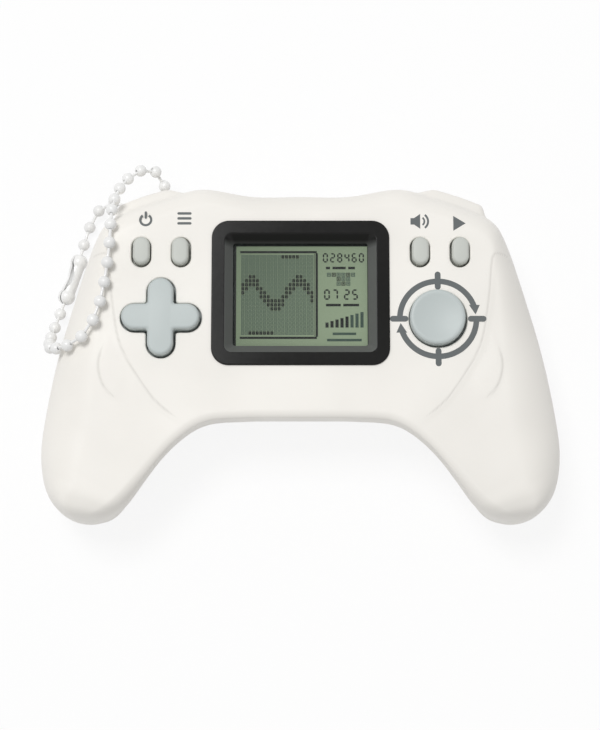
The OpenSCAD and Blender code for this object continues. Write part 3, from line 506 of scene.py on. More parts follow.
def front_white():
    """The shell's white, with fine grooves where the point attribute groove, in millimetres, is near 0: a
    bump, and a painted shade that darkens the colour in them.
    """
    mat = grained("front_white", *SHELL_TONE)
    tree = mat.node_tree
    shader = tree.nodes["Principled BSDF"]
    away = tree.nodes.new("ShaderNodeAttribute")
    away.attribute_name = "groove"
    square = math_node(tree, "POWER", away.outputs["Fac"], 2.0)
    near = math_node(tree, "POWER", 2.0, math_node(tree, "DIVIDE", square, -GROOVE_W ** 2))
    colour = shader.inputs["Base Color"].links[0].from_socket
    # Painted shade: the colour darkens in the grooves
    painted_groove_shade = math_node(tree, "MULTIPLY", near, 0.5)
    tree.links.new(blend_colour(tree, painted_groove_shade, colour, srgb(206, 203, 197)), shader.inputs["Base Color"])
    bump(tree, shader, math_node(tree, "MULTIPLY", near, -1.0), 1.0, 6e-5)
    return mat


def bezel_gloss():
    """Black plastic: satin on the slope towards the screen, polished on the flat, with a few specks of lint.

    A point is on the slope where it lies in a rectangle with round corners about the screen's centre. The
    satin is darkest along the top, where a painted shade darkens it.
    """
    mat = grained("bezel_gloss", srgb(21, 21, 20), srgb(25, 25, 24), (0.14, 0.2), 1500.0, 0.02, 1e-5, 0.12)
    tree = mat.node_tree
    shader = tree.nodes["Principled BSDF"]
    colour = shader.inputs["Base Color"].links[0].from_socket
    axes = tree.nodes.new("ShaderNodeSeparateXYZ")
    tree.links.new(object_coords(tree), axes.inputs[0])
    y = math_node(tree, "SUBTRACT", axes.outputs[1], SCREEN_Y * MM)
    past = []
    for value, size in ((axes.outputs[0], BEZEL_W), (y, BEZEL_H)):
        flat = (size / 2 - BEZEL_BAND - SLOPE_R) * MM
        out = math_node(tree, "SUBTRACT", math_node(tree, "ABSOLUTE", value), flat)
        past.append(math_node(tree, "POWER", math_node(tree, "MAXIMUM", out, 0.0), 2.0))
    reach = math_node(tree, "SQRT", math_node(tree, "ADD", past[0], past[1]))
    slope = math_node(tree, "LESS_THAN", reach, SLOPE_R * MM)
    # Painted shade: the satin of the slope darkens towards the top of the frame
    top = range_node(tree, y, 0.0092, 0.0108, 0.0, 1.0)
    satin = blend_colour(tree, top, srgb(100, 102, 100), srgb(38, 38, 37))
    colour = blend_colour(tree, slope, colour, satin)
    specks = use_group(tree, DUST, {"Spread": 420.0, "Share": 0.993, "Size": 0.08})
    colour = blend_colour(tree, specks.outputs["Mask"], colour, srgb(150, 150, 148))
    tree.links.new(colour, shader.inputs["Base Color"])
    return mat


def panel_glow():
    """Reflective crystal panel: grey green with a fine sandy grain, and painted light that makes it paler to
    the right and the bottom.
    """
    mat, tree, shader = new_material("panel_glow")
    at = object_coords(tree)
    axes = tree.nodes.new("ShaderNodeSeparateXYZ")
    tree.links.new(at, axes.inputs[0])
    # Painted light: the panel pales towards the right and the bottom
    across = range_node(tree, axes.outputs[0], -0.013, 0.013, 0.0, 0.7)
    down = range_node(tree, axes.outputs[1], 0.021, 0.0, 0.0, 0.3)
    sand = noise_node(tree, at, 2600.0, 2.0, 0.6)
    speckle = math_node(tree, "MULTIPLY_ADD", sand, 0.24, -0.12)
    tone = math_node(tree, "ADD", math_node(tree, "ADD", across, down), speckle)
    colour = blend_colour(tree, tone, srgb(112, 127, 103), srgb(146, 162, 135))
    tree.links.new(colour, shader.inputs["Base Color"])
    tree.links.new(range_node(tree, sand, 0.3, 0.7, 0.5, 0.65), shader.inputs["Roughness"])
    bump(tree, shader, sand, 0.1, 1e-5)
    shader.inputs["Specular IOR Level"].default_value = 0.2
    return mat


def window_clear():
    """Clear window, mostly see-through, with a faint haze that a noise varies."""
    mat, tree, shader = new_material("window_clear")
    haze = noise_node(tree, object_coords(tree), 160.0, 2.0, 0.5)
    tree.links.new(range_node(tree, haze, 0.3, 0.7, 0.004, 0.01), shader.inputs["Alpha"])
    tree.links.new(range_node(tree, haze, 0.3, 0.7, 0.06, 0.12), shader.inputs["Roughness"])
    shader.inputs["Base Color"].default_value = srgb(200, 212, 206)
    return mat


def looked_at(tree):
    """1 for the rays of the camera, of gloss and through glass, and 0 for those that only carry light."""
    ray = tree.nodes.new("ShaderNodeLightPath")
    mirrored = math_node(tree, "MAXIMUM", ray.outputs["Is Glossy Ray"], ray.outputs["Is Transmission Ray"])
    return math_node(tree, "MAXIMUM", ray.outputs["Is Camera Ray"], mirrored)


def floor_white():
    """Pale floor: plain diffuse for light, mostly glow where it is looked at, and clear from below."""
    mat, tree, shader = new_material("floor_white")
    tree.nodes.remove(shader)
    out = tree.nodes["Material Output"]
    matte = tree.nodes.new("ShaderNodeBsdfDiffuse")
    matte.inputs["Color"].default_value = (0.95, 0.95, 0.95, 1)
    glow = tree.nodes.new("ShaderNodeEmission")
    glow.inputs["Color"].default_value = (1, 1, 1, 1)
    glow.inputs["Strength"].default_value = 1.0
    mix = tree.nodes.new("ShaderNodeMixShader")
    tree.links.new(math_node(tree, "MULTIPLY", looked_at(tree), FLOOR_GLOW), mix.inputs[0])
    tree.links.new(matte.outputs[0], mix.inputs[1])
    tree.links.new(glow.outputs[0], mix.inputs[2])
    one_way = tree.nodes.new("ShaderNodeMixShader")
    tree.links.new(tree.nodes.new("ShaderNodeNewGeometry").outputs["Backfacing"], one_way.inputs[0])
    tree.links.new(mix.outputs[0], one_way.inputs[1])
    tree.links.new(tree.nodes.new("ShaderNodeBsdfTransparent").outputs[0], one_way.inputs[2])
    tree.links.new(one_way.outputs[0], out.inputs["Surface"])
    return mat


# Finishes as (roughness from and to, grain scale, bump strength, bump depth, specular level, coat)
SHELL_FINISH = ((0.42, 0.55), 2600.0, 0.22, 3e-5, 0.4)
BUTTON_FINISH = ((0.4, 0.52), 3200.0, 0.15, 2e-5, 0.4)
PRINT_FINISH = ((0.55, 0.65), 4000.0, 0.1, 1e-5, 0.3)
SEGMENT_FINISH = ((0.5, 0.6), 2500.0, 0.05, 1e-5, 0.2)
CHAIN_FINISH = ((0.22, 0.34), 1800.0, 0.1, 2e-5, 0.5, 0.2)
BOARD_FINISH = ((0.3, 0.4), 1500.0, 0.1, 2e-5)
RESIN_FINISH = ((0.2, 0.3), 900.0, 0.2, 4e-5)
RUBBER_FINISH = ((0.6, 0.75), 2500.0, 0.2, 3e-5, 0.3)
JACKET_FINISH = ((0.25, 0.35), 1200.0, 0.05, 1e-5, 0.5, 0.3)

FLOOR_GLOW, FLOOR_Z = 0.86, -0.0001
GRAIN, DUST, METAL = moulded_grain(), dust_specks(), drawn_metal()
SHELL_TONE = (srgb(243, 240, 234), srgb(238, 235, 229), *SHELL_FINISH)
SHELL_WHITE = grained("shell_white", *SHELL_TONE)
FRONT_WHITE = front_white()
BUTTON_GREY = grained("button_grey", srgb(190, 198, 197), srgb(185, 193, 192), *BUTTON_FINISH)
KEY_GREY = grained("key_grey", srgb(197, 200, 194), srgb(192, 195, 189), *BUTTON_FINISH)
PRINT_GREY = grained("print_grey", srgb(98, 103, 104), srgb(106, 110, 110), *PRINT_FINISH)
BEZEL_BLACK = bezel_gloss()
PANEL_GREEN = panel_glow()
WINDOW = window_clear()
SEGMENT_ON = grained("segment_on", srgb(14, 19, 16), srgb(20, 26, 22), *SEGMENT_FINISH)
SEGMENT_OFF = grained("segment_off", srgb(56, 74, 65), srgb(64, 82, 72), *SEGMENT_FINISH)
CHAIN_WHITE = grained("chain_white", srgb(240, 240, 239), srgb(233, 233, 232), *CHAIN_FINISH)
BOARD_GREEN = grained("board_green", srgb(40, 112, 66), srgb(32, 98, 58), *BOARD_FINISH)
RESIN_BLACK = grained("resin_black", srgb(26, 26, 26), srgb(32, 31, 30), *RESIN_FINISH)
MAT_RUBBER = grained("mat_rubber", srgb(128, 130, 132), srgb(118, 120, 122), *RUBBER_FINISH)
STRIP_RUBBER = grained("strip_rubber", srgb(176, 116, 128), srgb(160, 104, 116), *RUBBER_FINISH)
CELL_JACKET = grained("cell_jacket", srgb(70, 84, 98), srgb(62, 76, 90), *JACKET_FINISH)
SCREW_STEEL = metal("screw_steel", (0.62, 0.62, 0.64, 1), (0.5, 0.5, 0.52, 1), (0.25, 0.42))
CONTACT_NICKEL = metal("contact_nickel", (0.72, 0.71, 0.68, 1), (0.6, 0.59, 0.56, 1), (0.18, 0.35))
BUZZER_BRASS = metal("buzzer_brass", (0.72, 0.55, 0.25, 1), (0.6, 0.44, 0.2, 1), (0.25, 0.4))


# Housing


def moulded_lines(x, y, z):
    """Two values at each point of the face: the height added to it, and the distance from the nearest groove.

    The grip drops a little outside the crease, and the thumb rest is raised inside its arc. Where a groove
    fades out, at its ends and down the side, its distance is made larger.
    """
    x = np.abs(x)
    lift, away = np.zeros(x.shape), np.full(x.shape, 9.0)
    near = (x > 18) & (y < 22)
    px, py = x[near], y[near]
    crease, k = side_distance(px, py, fine_line(CREASE, 260))
    arc, m = side_distance(px, py, fine_line(REST_ARC, 160))
    crease_on = ease(0, 10, k) * (1 - ease(215, 259, k))
    arc_on = ease(15, 45, m) * (1 - ease(110, 140, m))
    drop = -0.1 * ease(0.0, 1.3, crease) * crease_on * (1 - ease(5, 11, crease))
    rest = 0.12 * ease(-0.7, 0.7, -arc) * ease(0.3, 4.5, crease) * (1 - ease(110, 150, m))
    lift[near] = drop + rest
    away[near] = np.minimum(np.abs(crease) + 0.5 * (1 - crease_on), np.abs(arc) + 0.5 * (1 - arc_on))
    return lift, away + 1 - ease(16.5, 19.5, z)


def bumper(a, z):
    """Stand-out of the shoulder bumper at rib number a and height z: a block with eased ends."""
    return (
        BUMPER_OUT * ease(*BUMPER_FROM, a) * (1 - ease(*BUMPER_TO, a))
        * ease(BUMPER_Z0, BUMPER_Z0 + 2, z) * (1 - ease(BUMPER_Z1 - 2.6, BUMPER_Z1, z))
    )


def housing_wall(s, t, front, arc_count, wall_count, middle_count):
    """One skin of a housing half at the rib numbers s, set in by t.

    Each rib runs straight from the outer to the inner edge. Its section rises from the parting plane along a
    quarter ellipse, crosses flat, and comes down along a smaller quarter ellipse and a straight wall, with a
    band along its foot that is set back by a small step. A shallow valley follows the parting plane.
    """
    a = np.abs(s)
    o, i = through_keys(OUTER_ENDS, a), through_keys(INNER_ENDS, a)
    v = o - i
    length = np.linalg.norm(v, axis=1)
    u = v / length[:, None]
    w = length / 2 - 1.1 * t
    share = through_keys(FRONT_SHARE if front else BACK_SHARE, a)
    h = (FACE_Z - PART_Z if front else PART_Z) * share - t
    edge = FRONT_ROUND if front else BACK_ROUND
    r = (edge + (length / 2 - edge) * ease(5, 10, a)) * (1 - 0.45 * ease(10, 12, a))
    r = np.minimum(0.94 * w, np.maximum(0.3, r - t))
    near_tip = ease(8, 12, a)
    arch_r = ARCH_ROUND + (TIP_ROUND - ARCH_ROUND) * near_tip if front else BACK_ROUND
    arch_r = np.minimum(0.94 * w, np.maximum(0.3, arch_r - t))
    rise = (FRONT_RISE + (TIP_RISE - FRONT_RISE) * near_tip if front else 0.02 + 0 * a)[:, None]
    low = np.array([0, 0.008, 0.018, 0.032, 0.05])
    q = np.concatenate([low, np.linspace(0.08, np.pi / 2, arc_count - 5)])
    reach = w[:, None] - r[:, None] * (1 - np.cos(q))
    climb = h[:, None] * np.sin(q)
    p = np.linspace(0, np.pi / 2, arc_count * 2 // 3)
    band = np.linspace(0.08, BAND_RISE - 0.01, wall_count)
    straight = np.concatenate([low, band, BAND_RISE + STEP_AT, [0.98]])
    arch_reach = np.concatenate(
        [w[:, None] * np.ones(len(straight)), w[:, None] - arch_r[:, None] * (1 - np.cos(p))], axis=1
    )
    arch_climb = h[:, None] * np.concatenate([rise * straight, rise + (1 - rise) * np.sin(p)], axis=1)
    if t == 0:
        reach = reach - 0.2 * np.exp(-(climb / 0.16) ** 2)
        arch_reach = arch_reach - 0.2 * np.exp(-(arch_climb / 0.16) ** 2)
        step = (BAND_STEP * (1 - 0.9 * ease(9, 12, a)) * np.minimum(1, w / 3))[:, None]
        if front:
            arch_reach[:, : len(straight)] -= step * (1 - ease(BAND_RISE, BAND_RISE + STEP_AT[-1], straight))
        else:
            arch_reach = arch_reach - step
    cross = np.linspace(0, 1, middle_count + 2)[1:-1]
    span = reach[:, -1:] * (1 - cross) - arch_reach[:, -1:] * cross
    e = np.concatenate([reach, span, -arch_reach[:, ::-1]], axis=1)
    z = np.concatenate([climb, climb[:, -1:] * np.ones(middle_count), arch_climb[:, ::-1]], axis=1)
    z = PART_Z + (z if front else -z)
    if t == 0:
        e = np.where(e > 0, e + bumper(a[:, None], z), e)
    mid = (o + i) / 2
    xy = mid[:, None, :] + e[..., None] * u[:, None, :]
    x = np.where(s < 0, -1, 1)[:, None] * xy[..., 0]
    if front and t == 0:
        z = z + moulded_lines(x, xy[..., 1], z)[0]
    return np.stack([x, xy[..., 1], z], -1)


def housing_half(front):
    """Closed shell of one housing half: the outer skin, the inner skin, and the rim that joins them.

    At the tip of each grip both skins end in a small flat face, and one more closes the rim between them.
    """
    s = np.linspace(-OUTER_LAST, OUTER_LAST, RIB_COUNT)
    outer = housing_wall(s, 0, front, 36, 6, 80)
    inner = housing_wall(s * INNER_LAST / s[-1], WALL, front, 16, 2, 14)
    loops = np.concatenate([outer, inner[:, ::-1]], axis=1)
    points, faces = stack(loops, caps=False)
    n, both = outer.shape[1], loops.shape[1]
    for start in (0, len(points) - both):
        ring = list(range(start, start + both))
        faces += [ring[:n], ring[n:], [ring[0], ring[n - 1], ring[n], ring[-1]]]
    return points, faces


def bezel_neck_at(grow):
    """Plan of the opening for the screen frame's neck; its edge lies under the frame and stays plain."""
    return box_loop(BEZEL_W - 2 * BEZEL_RIM + 0.2, BEZEL_H - 2 * BEZEL_RIM + 0.2, BEZEL_R - BEZEL_RIM)


def pad_at(grow):
    """Plan of the cross pad, grown all round."""
    return cross_loop(PAD_SPAN + 2 * grow, PAD_ARM + 2 * grow)


def action_at(grow):
    """Plan of the round button, grown all round."""
    return circle_loop(ACTION_D + 2 * grow)


def key_at(grow):
    """Plan of a small key, grown all round."""
    return pill_loop(KEY_W + 2 * grow, KEY_H + 2 * grow)


def hole(loop_at, x, y, lip=0.28):
    """Cutter for a hole through the face, flared to a small round at the top edge."""
    q = np.linspace(0, np.pi / 2, 6)
    rows = [(0, UNDER_Z - 1.5)]
    rows += [(lip * (1 - math.cos(b)), FACE_Z - lip + lip * math.sin(b)) for b in q]
    rows += [(lip, FACE_Z + 2)]
    return stack(levels(loop_at, rows, x, y))


front = make_object("front_cover", *housing_half(True))
holes = [
    hole(bezel_neck_at, 0, SCREEN_Y),
    hole(lambda g: pad_at(PAD_GAP + g), PAD_X, PAD_Y),
    hole(lambda g: action_at(BUTTON_GAP + g), ACTION_X, ACTION_Y),
]
for place in KEY_PLACES.values():
    holes.append(hole(lambda g: key_at(BUTTON_GAP + g), place, KEY_Y))
carve(front, holes)
places = np.zeros(3 * len(front.data.vertices))
front.data.vertices.foreach_get("co", places)
places = places.reshape(-1, 3) / MM
groove = front.data.attributes.new("groove", "FLOAT", "POINT")
groove.data.foreach_set("value", moulded_lines(*places.T)[1])
dress(front, "housing", FRONT_WHITE, ["front_shell"])


# Screen


def bezel_loops():
    """Frame round the screen: a closed profile of round-cornered rectangles, each (grow, corner, height)."""
    neck = -BEZEL_RIM
    inner = -BEZEL_BAND
    view = inner - BEZEL_SLOPE
    lap = view + 1.95
    rows = [
        (lap, 0.6, WINDOW_Z0),
        (neck, BEZEL_R - BEZEL_RIM, WINDOW_Z0), (neck, BEZEL_R - BEZEL_RIM, FACE_Z + 0.02),
        (-0.06, BEZEL_R, FACE_Z + 0.02), (0, BEZEL_R, FACE_Z + 0.08), (0, BEZEL_R, BEZEL_Z1 - 0.2),
        (-0.06, BEZEL_R - 0.06, BEZEL_Z1 - 0.06), (-0.2, BEZEL_R - 0.2, BEZEL_Z1),
        (-0.24, BEZEL_R - 0.24, BEZEL_Z1),
        (inner + 0.12, 1.53, BEZEL_Z1), (inner + 0.08, 1.5, BEZEL_Z1), (inner - 0.02, 1.4, BEZEL_Z1 - 0.04),
        (inner - 0.09, 1.36, BEZEL_Z1 - 0.13), (inner - 0.12, 1.34, BEZEL_Z1 - 0.17),
        (view + 0.06, 0.62, WINDOW_Z1 + 0.09), (view + 0.03, 0.6, WINDOW_Z1 + 0.05),
        (view, 0.55, WINDOW_Z1 + 0.02), (view, 0.55, WINDOW_Z1),
        (lap, 0.6, WINDOW_Z1),
    ]
    return np.stack([
        at_height(box_loop(BEZEL_W + 2 * grow, BEZEL_H + 2 * grow, r), z, 0, SCREEN_Y) for grow, r, z in rows
    ])


piece("screen_frame", *stack(bezel_loops(), wrap=True), "housing", "bezel_black", BEZEL_BLACK,
      ["screen_bezel"], 30.0)


def plates(outlines, low, high):
    """Thin flat plates, one for each outline, from the height low to high."""
    return join([stack(np.stack([at_height(outline, z) for z in (low, high)])) for outline in outlines])


def bar(x, y, w, h):
    """Outline of an upright rectangle about the point (x, y)."""
    x0, x1, y0, y1 = x - w / 2, x + w / 2, y - h / 2, y + h / 2
    return np.array([[x0, y0], [x1, y0], [x1, y1], [x0, y1]])


# Segments of a digit, from the top one clockwise and then the middle one, that are on for each number
DIGIT_SEGMENTS = ["abcdef", "bc", "abged", "abgcd", "fgbc", "afgcd", "afgedc", "abc", "abcdefg", "abcdfg"]


def digit(number, x, y, w, h, line):
    """Outlines of the segments of a number, in a w by h cell about (x, y): slim bars with pointed ends."""
    sx, sy = w / 2 - line / 2, h / 2 - line / 2
    places = {
        "a": (0, sy, 0), "g": (0, 0, 0), "d": (0, -sy, 0),
        "b": (sx, sy / 2, 1), "c": (sx, -sy / 2, 1), "e": (-sx, -sy / 2, 1), "f": (-sx, sy / 2, 1),
    }
    out = []
    for name in DIGIT_SEGMENTS[number]:
        px, py, upright = places[name]
        half = (sy / 2 if upright else sx) - line * 0.18
        p = np.array([[-half, 0], [line / 2 - half, -line / 2], [half - line / 2, -line / 2], [half, 0],
                      [half - line / 2, line / 2], [line / 2 - half, line / 2]])
        out.append((p[:, ::-1] if upright else p) + [x + px, y + py])
    return out


def cell_marks(x, y, w, h, line):
    """Outlines of one cell of the field: a ring in four bars, and a square dot inside it."""
    ex, ey = w / 2 - line / 2, h / 2 - line / 2
    return [
        bar(x, y + ey, w, line), bar(x, y - ey, w, line),
        bar(x - ex, y, line, h - 2 * line), bar(x + ex, y, line, h - 2 * line),
        bar(x, y, w * 0.36, w * 0.36),
    ]


# Field of cells on the panel, with a wave of lit cells across it and short rows of them at its edges
FIELD_X0, FIELD_X1, FIELD_Y0, FIELD_Y1 = -11.7, 2.6, 2.5, 18.6
COLUMNS, ROWS = 20, 20
FRAME_X, FRAME_W, FRAME_LINE = -4.35, 15.1, 0.44
step_x, step_y = (FIELD_X1 - FIELD_X0) / COLUMNS, (FIELD_Y1 - FIELD_Y0) / ROWS
lit, dim = [], []
for column in range(COLUMNS):
    wave = int(9.2 + 3.2 * math.sin(0.48 * column + 0.5))
    for row in range(ROWS):
        on = row - wave in (0, 1, 2) or (row == 19 and 11 <= column <= 15) or (row == 0 and 2 <= column <= 8)
        x, y = FIELD_X0 + (column + 0.5) * step_x, FIELD_Y0 + (row + 0.5) * step_y
        (lit if on else dim).extend(cell_marks(x, y, 0.6, 0.7, 0.2 if on else 0.12))
field_y = (FIELD_Y0 + FIELD_Y1) / 2
lit += [
    bar(FRAME_X, FIELD_Y1 + 0.55, FRAME_W, FRAME_LINE), bar(FRAME_X, FIELD_Y0 - 0.55, FRAME_W, FRAME_LINE),
    bar(3.2, field_y, FRAME_LINE, FIELD_Y1 - FIELD_Y0 + 0.66),
    bar(2.8, field_y, 0.1, FIELD_Y1 - FIELD_Y0 + 0.5),
]

# Painted shade at the edges of the panel, under the frame: dark bars in the colour of the lit segments
view_w, view_h = BEZEL_W - 2 * (BEZEL_BAND + BEZEL_SLOPE), BEZEL_H - 2 * (BEZEL_BAND + BEZEL_SLOPE)
lit += [
    bar(0.2 - view_w / 2, SCREEN_Y, 0.8, view_h + 0.6), bar(0.4, SCREEN_Y + view_h / 2, view_w - 0.4, 0.7),
    bar(view_w / 2 + 0.1, SCREEN_Y - 0.4, 0.4, view_h),
]

# Beside the field: two rows of digits, a small block of cells, dashes and a row of rising bars
for k, number in enumerate((0, 2, 8, 4, 6, 0)):
    lit += digit(number, 4.9 + 1.42 * k, 18.0, 1.02, 1.9, 0.28)
for k, number in enumerate((0, 7, 2, 5)):
    lit += digit(number, 5.2 + 1.6 * k + (0.7 if k > 1 else 0), 10.6, 1.15, 2.1, 0.3)
for k in range(6):
    for row in range(3):
        if row == 2 or k in (2, 3, 4):
            marks = cell_marks(5.6 + 0.95 * k, 12.8 + 0.9 * row, 0.78, 0.78, 0.15)
            (lit if (k + row) % 3 == 0 else dim).extend(marks)
for y, widths in ((15.95, (0.8, 2.6, 1.3)), (8.5, (2.9, 3.1))):
    x = 5.0
    for w in widths:
        lit.append(bar(x + w / 2, y, w, 0.5))
        x += w + 0.5
for k in range(8):
    (lit if k < 5 else dim).append(bar(5.2 + 0.98 * k, 4.5 + 0.15 * k, 0.62, 1.0 + 0.3 * k))
for y, w in ((2.75, 4.6), (1.5, 6.8)):
    dim.append(bar(8.6, y, w, 0.5))
# The lit marks also carry the bars of painted shade at the panel's edges
piece("panel_marks_and_painted_shade", *plates(lit, PANEL_Z1, PANEL_Z1 + 0.03), "housing", "lcd_green", SEGMENT_ON)
piece("panel_dim_marks", *plates(dim, PANEL_Z1, PANEL_Z1 + 0.02), "housing", "lcd_green", SEGMENT_OFF)


# Buttons


def cap_rows(gap, lip_z0, lip_z1, top, rounding=0.55):
    """Side of a button from under its lip to the round of its top edge, as (grow, z)."""
    rows = [(gap + LIP_W, lip_z0), (gap + LIP_W, lip_z1), (0.02, lip_z1 + 0.02), (0, lip_z1 + 0.1)]
    return rows + quarter_round(rounding, top, np.linspace(0, np.pi / 2, 8))


def leaning_cap(loop_at, rows, x, y, lean):
    """Loops of a button at (x, y) whose cap, from its lip upwards, leans to one side of its hole."""
    loops = levels(loop_at, rows, x, y)
    loops[2:, :, :2] += lean
    return loops


def socket_loops(loop, x, y):
    """Underside of the cross pad: flat from its edge to a round socket, and up the inside of the socket."""
    q = np.arctan2(loop[:, 1], loop[:, 0])
    ring = np.stack([np.cos(q), np.sin(q)], -1)
    b0 = math.asin((PAD_LIP_Z0 - PIVOT_Z) / SOCKET_R)
    return np.stack([
        at_height(ring * SOCKET_R * math.cos(b), PIVOT_Z + SOCKET_R * math.sin(b), x, y)
        for b in np.linspace(math.radians(89), b0, 12)
    ])


rows = cap_rows(PAD_GAP, PAD_LIP_Z0, PAD_LIP_Z1, PAD_TOP)
pad = leaning_cap(pad_at, rows, PAD_X, PAD_Y, CAP_LEAN["pad"])
pad = np.concatenate([socket_loops(pad_at(0), PAD_X, PAD_Y), pad])
piece("cross_pad", *stack(pad), "pad", "button_grey", BUTTON_GREY, ["dpad_cap"])

rows = cap_rows(BUTTON_GAP, LIP_Z0, LIP_Z1, ACTION_TOP)
bowl_r = ACTION_D / 2 - 0.75
for r in np.linspace(bowl_r, 0.05, 14):
    rows.append((r - ACTION_D / 2, ACTION_TOP - ACTION_DISH * (1 - (r / bowl_r) ** 2)))
action = leaning_cap(action_at, rows, ACTION_X, ACTION_Y, CAP_LEAN["action"])
piece("round_button", *stack(action), "action", "button_grey", BUTTON_GREY, ["action_button"])

for name, x in KEY_PLACES.items():
    rows = cap_rows(BUTTON_GAP, LIP_Z0, LIP_Z1, KEY_TOP)
    loops = leaning_cap(key_at, rows, x, KEY_Y, CAP_LEAN[name])
    piece(name + "_key", *stack(loops), name, "button_grey", KEY_GREY, [name + "_button"])


# Rubber mats and domes under the buttons


def rubber_mat(name, x, y, post, node):
    """Mat under the buttons of one side: a plate with eased edges, with a round post under the pad's ball."""
    w, top = PAD_SPAN + 1.2, KEY_Y + KEY_H / 2
    h = top - y + w / 2
    rows = [
        (-0.2, PCB_Z1 + 0.01), (0, PCB_Z1 + 0.1), (0, MAT_Z1 - 0.2), (-0.06, MAT_Z1 - 0.06), (-0.2, MAT_Z1)]
    parts = [stack(levels(lambda g: box_loop(w + 2 * g, h + 2 * g, 0.6), rows, x, top - h / 2))]
    if post:
        rows = [(0, DOME_Z0), (0, POST_TOP - 0.2), (-0.2, POST_TOP)]
        parts.append(stack(levels(lambda g: circle_loop(POST_D + 2 * g, 32), rows, x, y)))
    piece(name, *join(parts), "housing", "keypad_rubber", MAT_RUBBER, [node])


def rubber_dome(name, x, y, lip_z0):
    """Bell-shaped dome with its top under a button's lip: the radius falls with the square of the height.
    """
    top = lip_z0 - DOME_PLAY
    u = np.linspace(0, 1, 10)
    rows = list(zip(DOME_FLARE * (1 - u) ** 2, DOME_Z0 + u * (top - DOME_ROUND - DOME_Z0)))
    rows += quarter_round(DOME_ROUND, top, np.linspace(0.3, np.pi / 2, 5))
    loops = levels(lambda g: circle_loop(2 * (DOME_R + g), 32), rows, x, y)
    dome = piece(name, *stack(loops), "housing", "keypad_rubber", MAT_RUBBER)
    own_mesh(dome)


rubber_mat("left_mat", PAD_X, PAD_Y, True, "left_keypad")
rubber_mat("right_mat", ACTION_X, ACTION_Y, False, "right_keypad")
rubber_dome("action_dome", ACTION_X, ACTION_Y, LIP_Z0)
for name, x in KEY_PLACES.items():
    rubber_dome(name + "_dome", x, KEY_Y, LIP_Z0)
for side, out in (("low", -DOME_OUT), ("high", DOME_OUT)):
    rubber_dome("pad_x_dome_" + side, PAD_X + out, PAD_Y, PAD_LIP_Z0)
    rubber_dome("pad_y_dome_" + side, PAD_X, PAD_Y + out, PAD_LIP_Z0)


# Printed marks


def arc_band(x, y, r0, r1, from_deg, to_deg, count=40, cut0=0.0, cut1=0.0):
    """Outline of a part of a ring about (x, y), between two radii and two angles.

    Each end lies on a line that passes the centre at the distance cut0 or cut1.
    """
    sides = []
    for r in (r1, r0):
        a = math.radians(from_deg) + math.asin(cut0 / r)
        b = math.radians(to_deg) - math.asin(cut1 / r)
        q = np.linspace(a, b, count)
        sides.append(r * np.stack([np.cos(q), np.sin(q)], -1))
    return np.concatenate([sides[0], sides[1][::-1]]) + [x, y]


def turned(points, deg, x, y):
    """Points turned by deg about the origin, then moved to (x, y)."""
    c, s = math.cos(math.radians(deg)), math.sin(math.radians(deg))
    return np.asarray(points) @ np.array([[c, s], [-s, c]]) + [x, y]


def soft_bar(w, h):
    """Outline of a bar with round ends, along Y."""
    return pill_loop(w, h, 10)


# Signs over the keys: a broken ring with a stroke, three bars, a loudspeaker and a triangle
POWER_SIGN, MENU_SIGN, SOUND_SIGN = (-30.4, 25.0), (-22.8, 25.3), (23.4, 24.7)
prints = [
    arc_band(*POWER_SIGN, 0.85, 1.3, 124, 416), soft_bar(0.46, 1.5) + POWER_SIGN + [0, 1.0],
    np.array([[21.6, 24.05], [22.3, 24.05], [23.5, 23.2], [23.5, 26.2], [22.3, 25.35], [21.6, 25.35]]),
    arc_band(*SOUND_SIGN, 0.75, 1.1, -52, 52, 14), arc_band(*SOUND_SIGN, 1.45, 1.85, -52, 52, 18),
    np.array([[30.0, 22.8], [32.4, 24.3], [30.0, 25.8]]),
]
for up in (-1.0, 0.0, 1.0):
    prints.append(turned(soft_bar(0.5, 2.8), 90, MENU_SIGN[0], MENU_SIGN[1] + up))

# Ring round the round button: four strokes, four arcs between them, and two arrow heads
RING_R0, RING_R1 = 6.9, 8.0
for deg in (0, 90, 180, 270):
    head = 2.75 if deg % 180 == 0 else 0.575
    prints.append(turned(soft_bar(1.15, 3.6) + [0, 7.6], deg, ACTION_X, ACTION_Y))
    prints.append(turned(arc_band(0, 0, RING_R0, RING_R1, 0, 90, 40, head, 0.575), deg, ACTION_X, ACTION_Y))
    if deg % 180 == 0:
        prints.append(turned([[6.05, 2.75], [8.15, 2.75], [7.3, 0.85]], deg, ACTION_X, ACTION_Y))
piece("face_prints", *plates(prints, FACE_Z - 0.02, FACE_Z + 0.02), "housing", "shell_white", PRINT_GREY)


# Back of the housing


def turned_form(profile, x, y, sides=40):
    """Form turned about an upright axis through (x, y): loops at each (radius, z) of a closed profile."""
    return stack(levels(lambda r: circle_loop(2 * r, sides), profile, x, y), wrap=True)


def tube(x, y, outer, inner, z0, z1):
    """Closed tube with an upright axis."""
    return turned_form([(outer, z0), (outer, z1), (inner, z1), (inner, z0)], x, y)


def column_cutter(x, y, d, z0, z1):
    """Round cutter with an upright axis."""
    return stack(levels(lambda g: circle_loop(d, 40), [(0, z0), (0, z1)], x, y))


def plan_cutter(loop, x, y, z0, z1):
    """Cutter of a given plan between two heights."""
    return stack(levels(lambda g: loop, [(0, z0), (0, z1)], x, y))


def rib_point(s, d):
    """Point on the rib of number s, at the distance d from its outer end."""
    o, i = through_keys(OUTER_ENDS, np.array([s]))[0], through_keys(INNER_ENDS, np.array([s]))[0]
    return o - (o - i) / np.linalg.norm(o - i) * d


upper_boss = np.maximum(rib_point(3.0, 7), [PCB_SCREW_X + PCB_EDGE + BOSS_R + PCB_GAP, 0])
boss_places = []
for point in (upper_boss, np.array([ARCH_W + 6, -PCB_LOW - BOSS_R - PCB_GAP]), rib_point(9.6, 11)):
    boss_places += [(point[0], point[1]), (-point[0], point[1])]

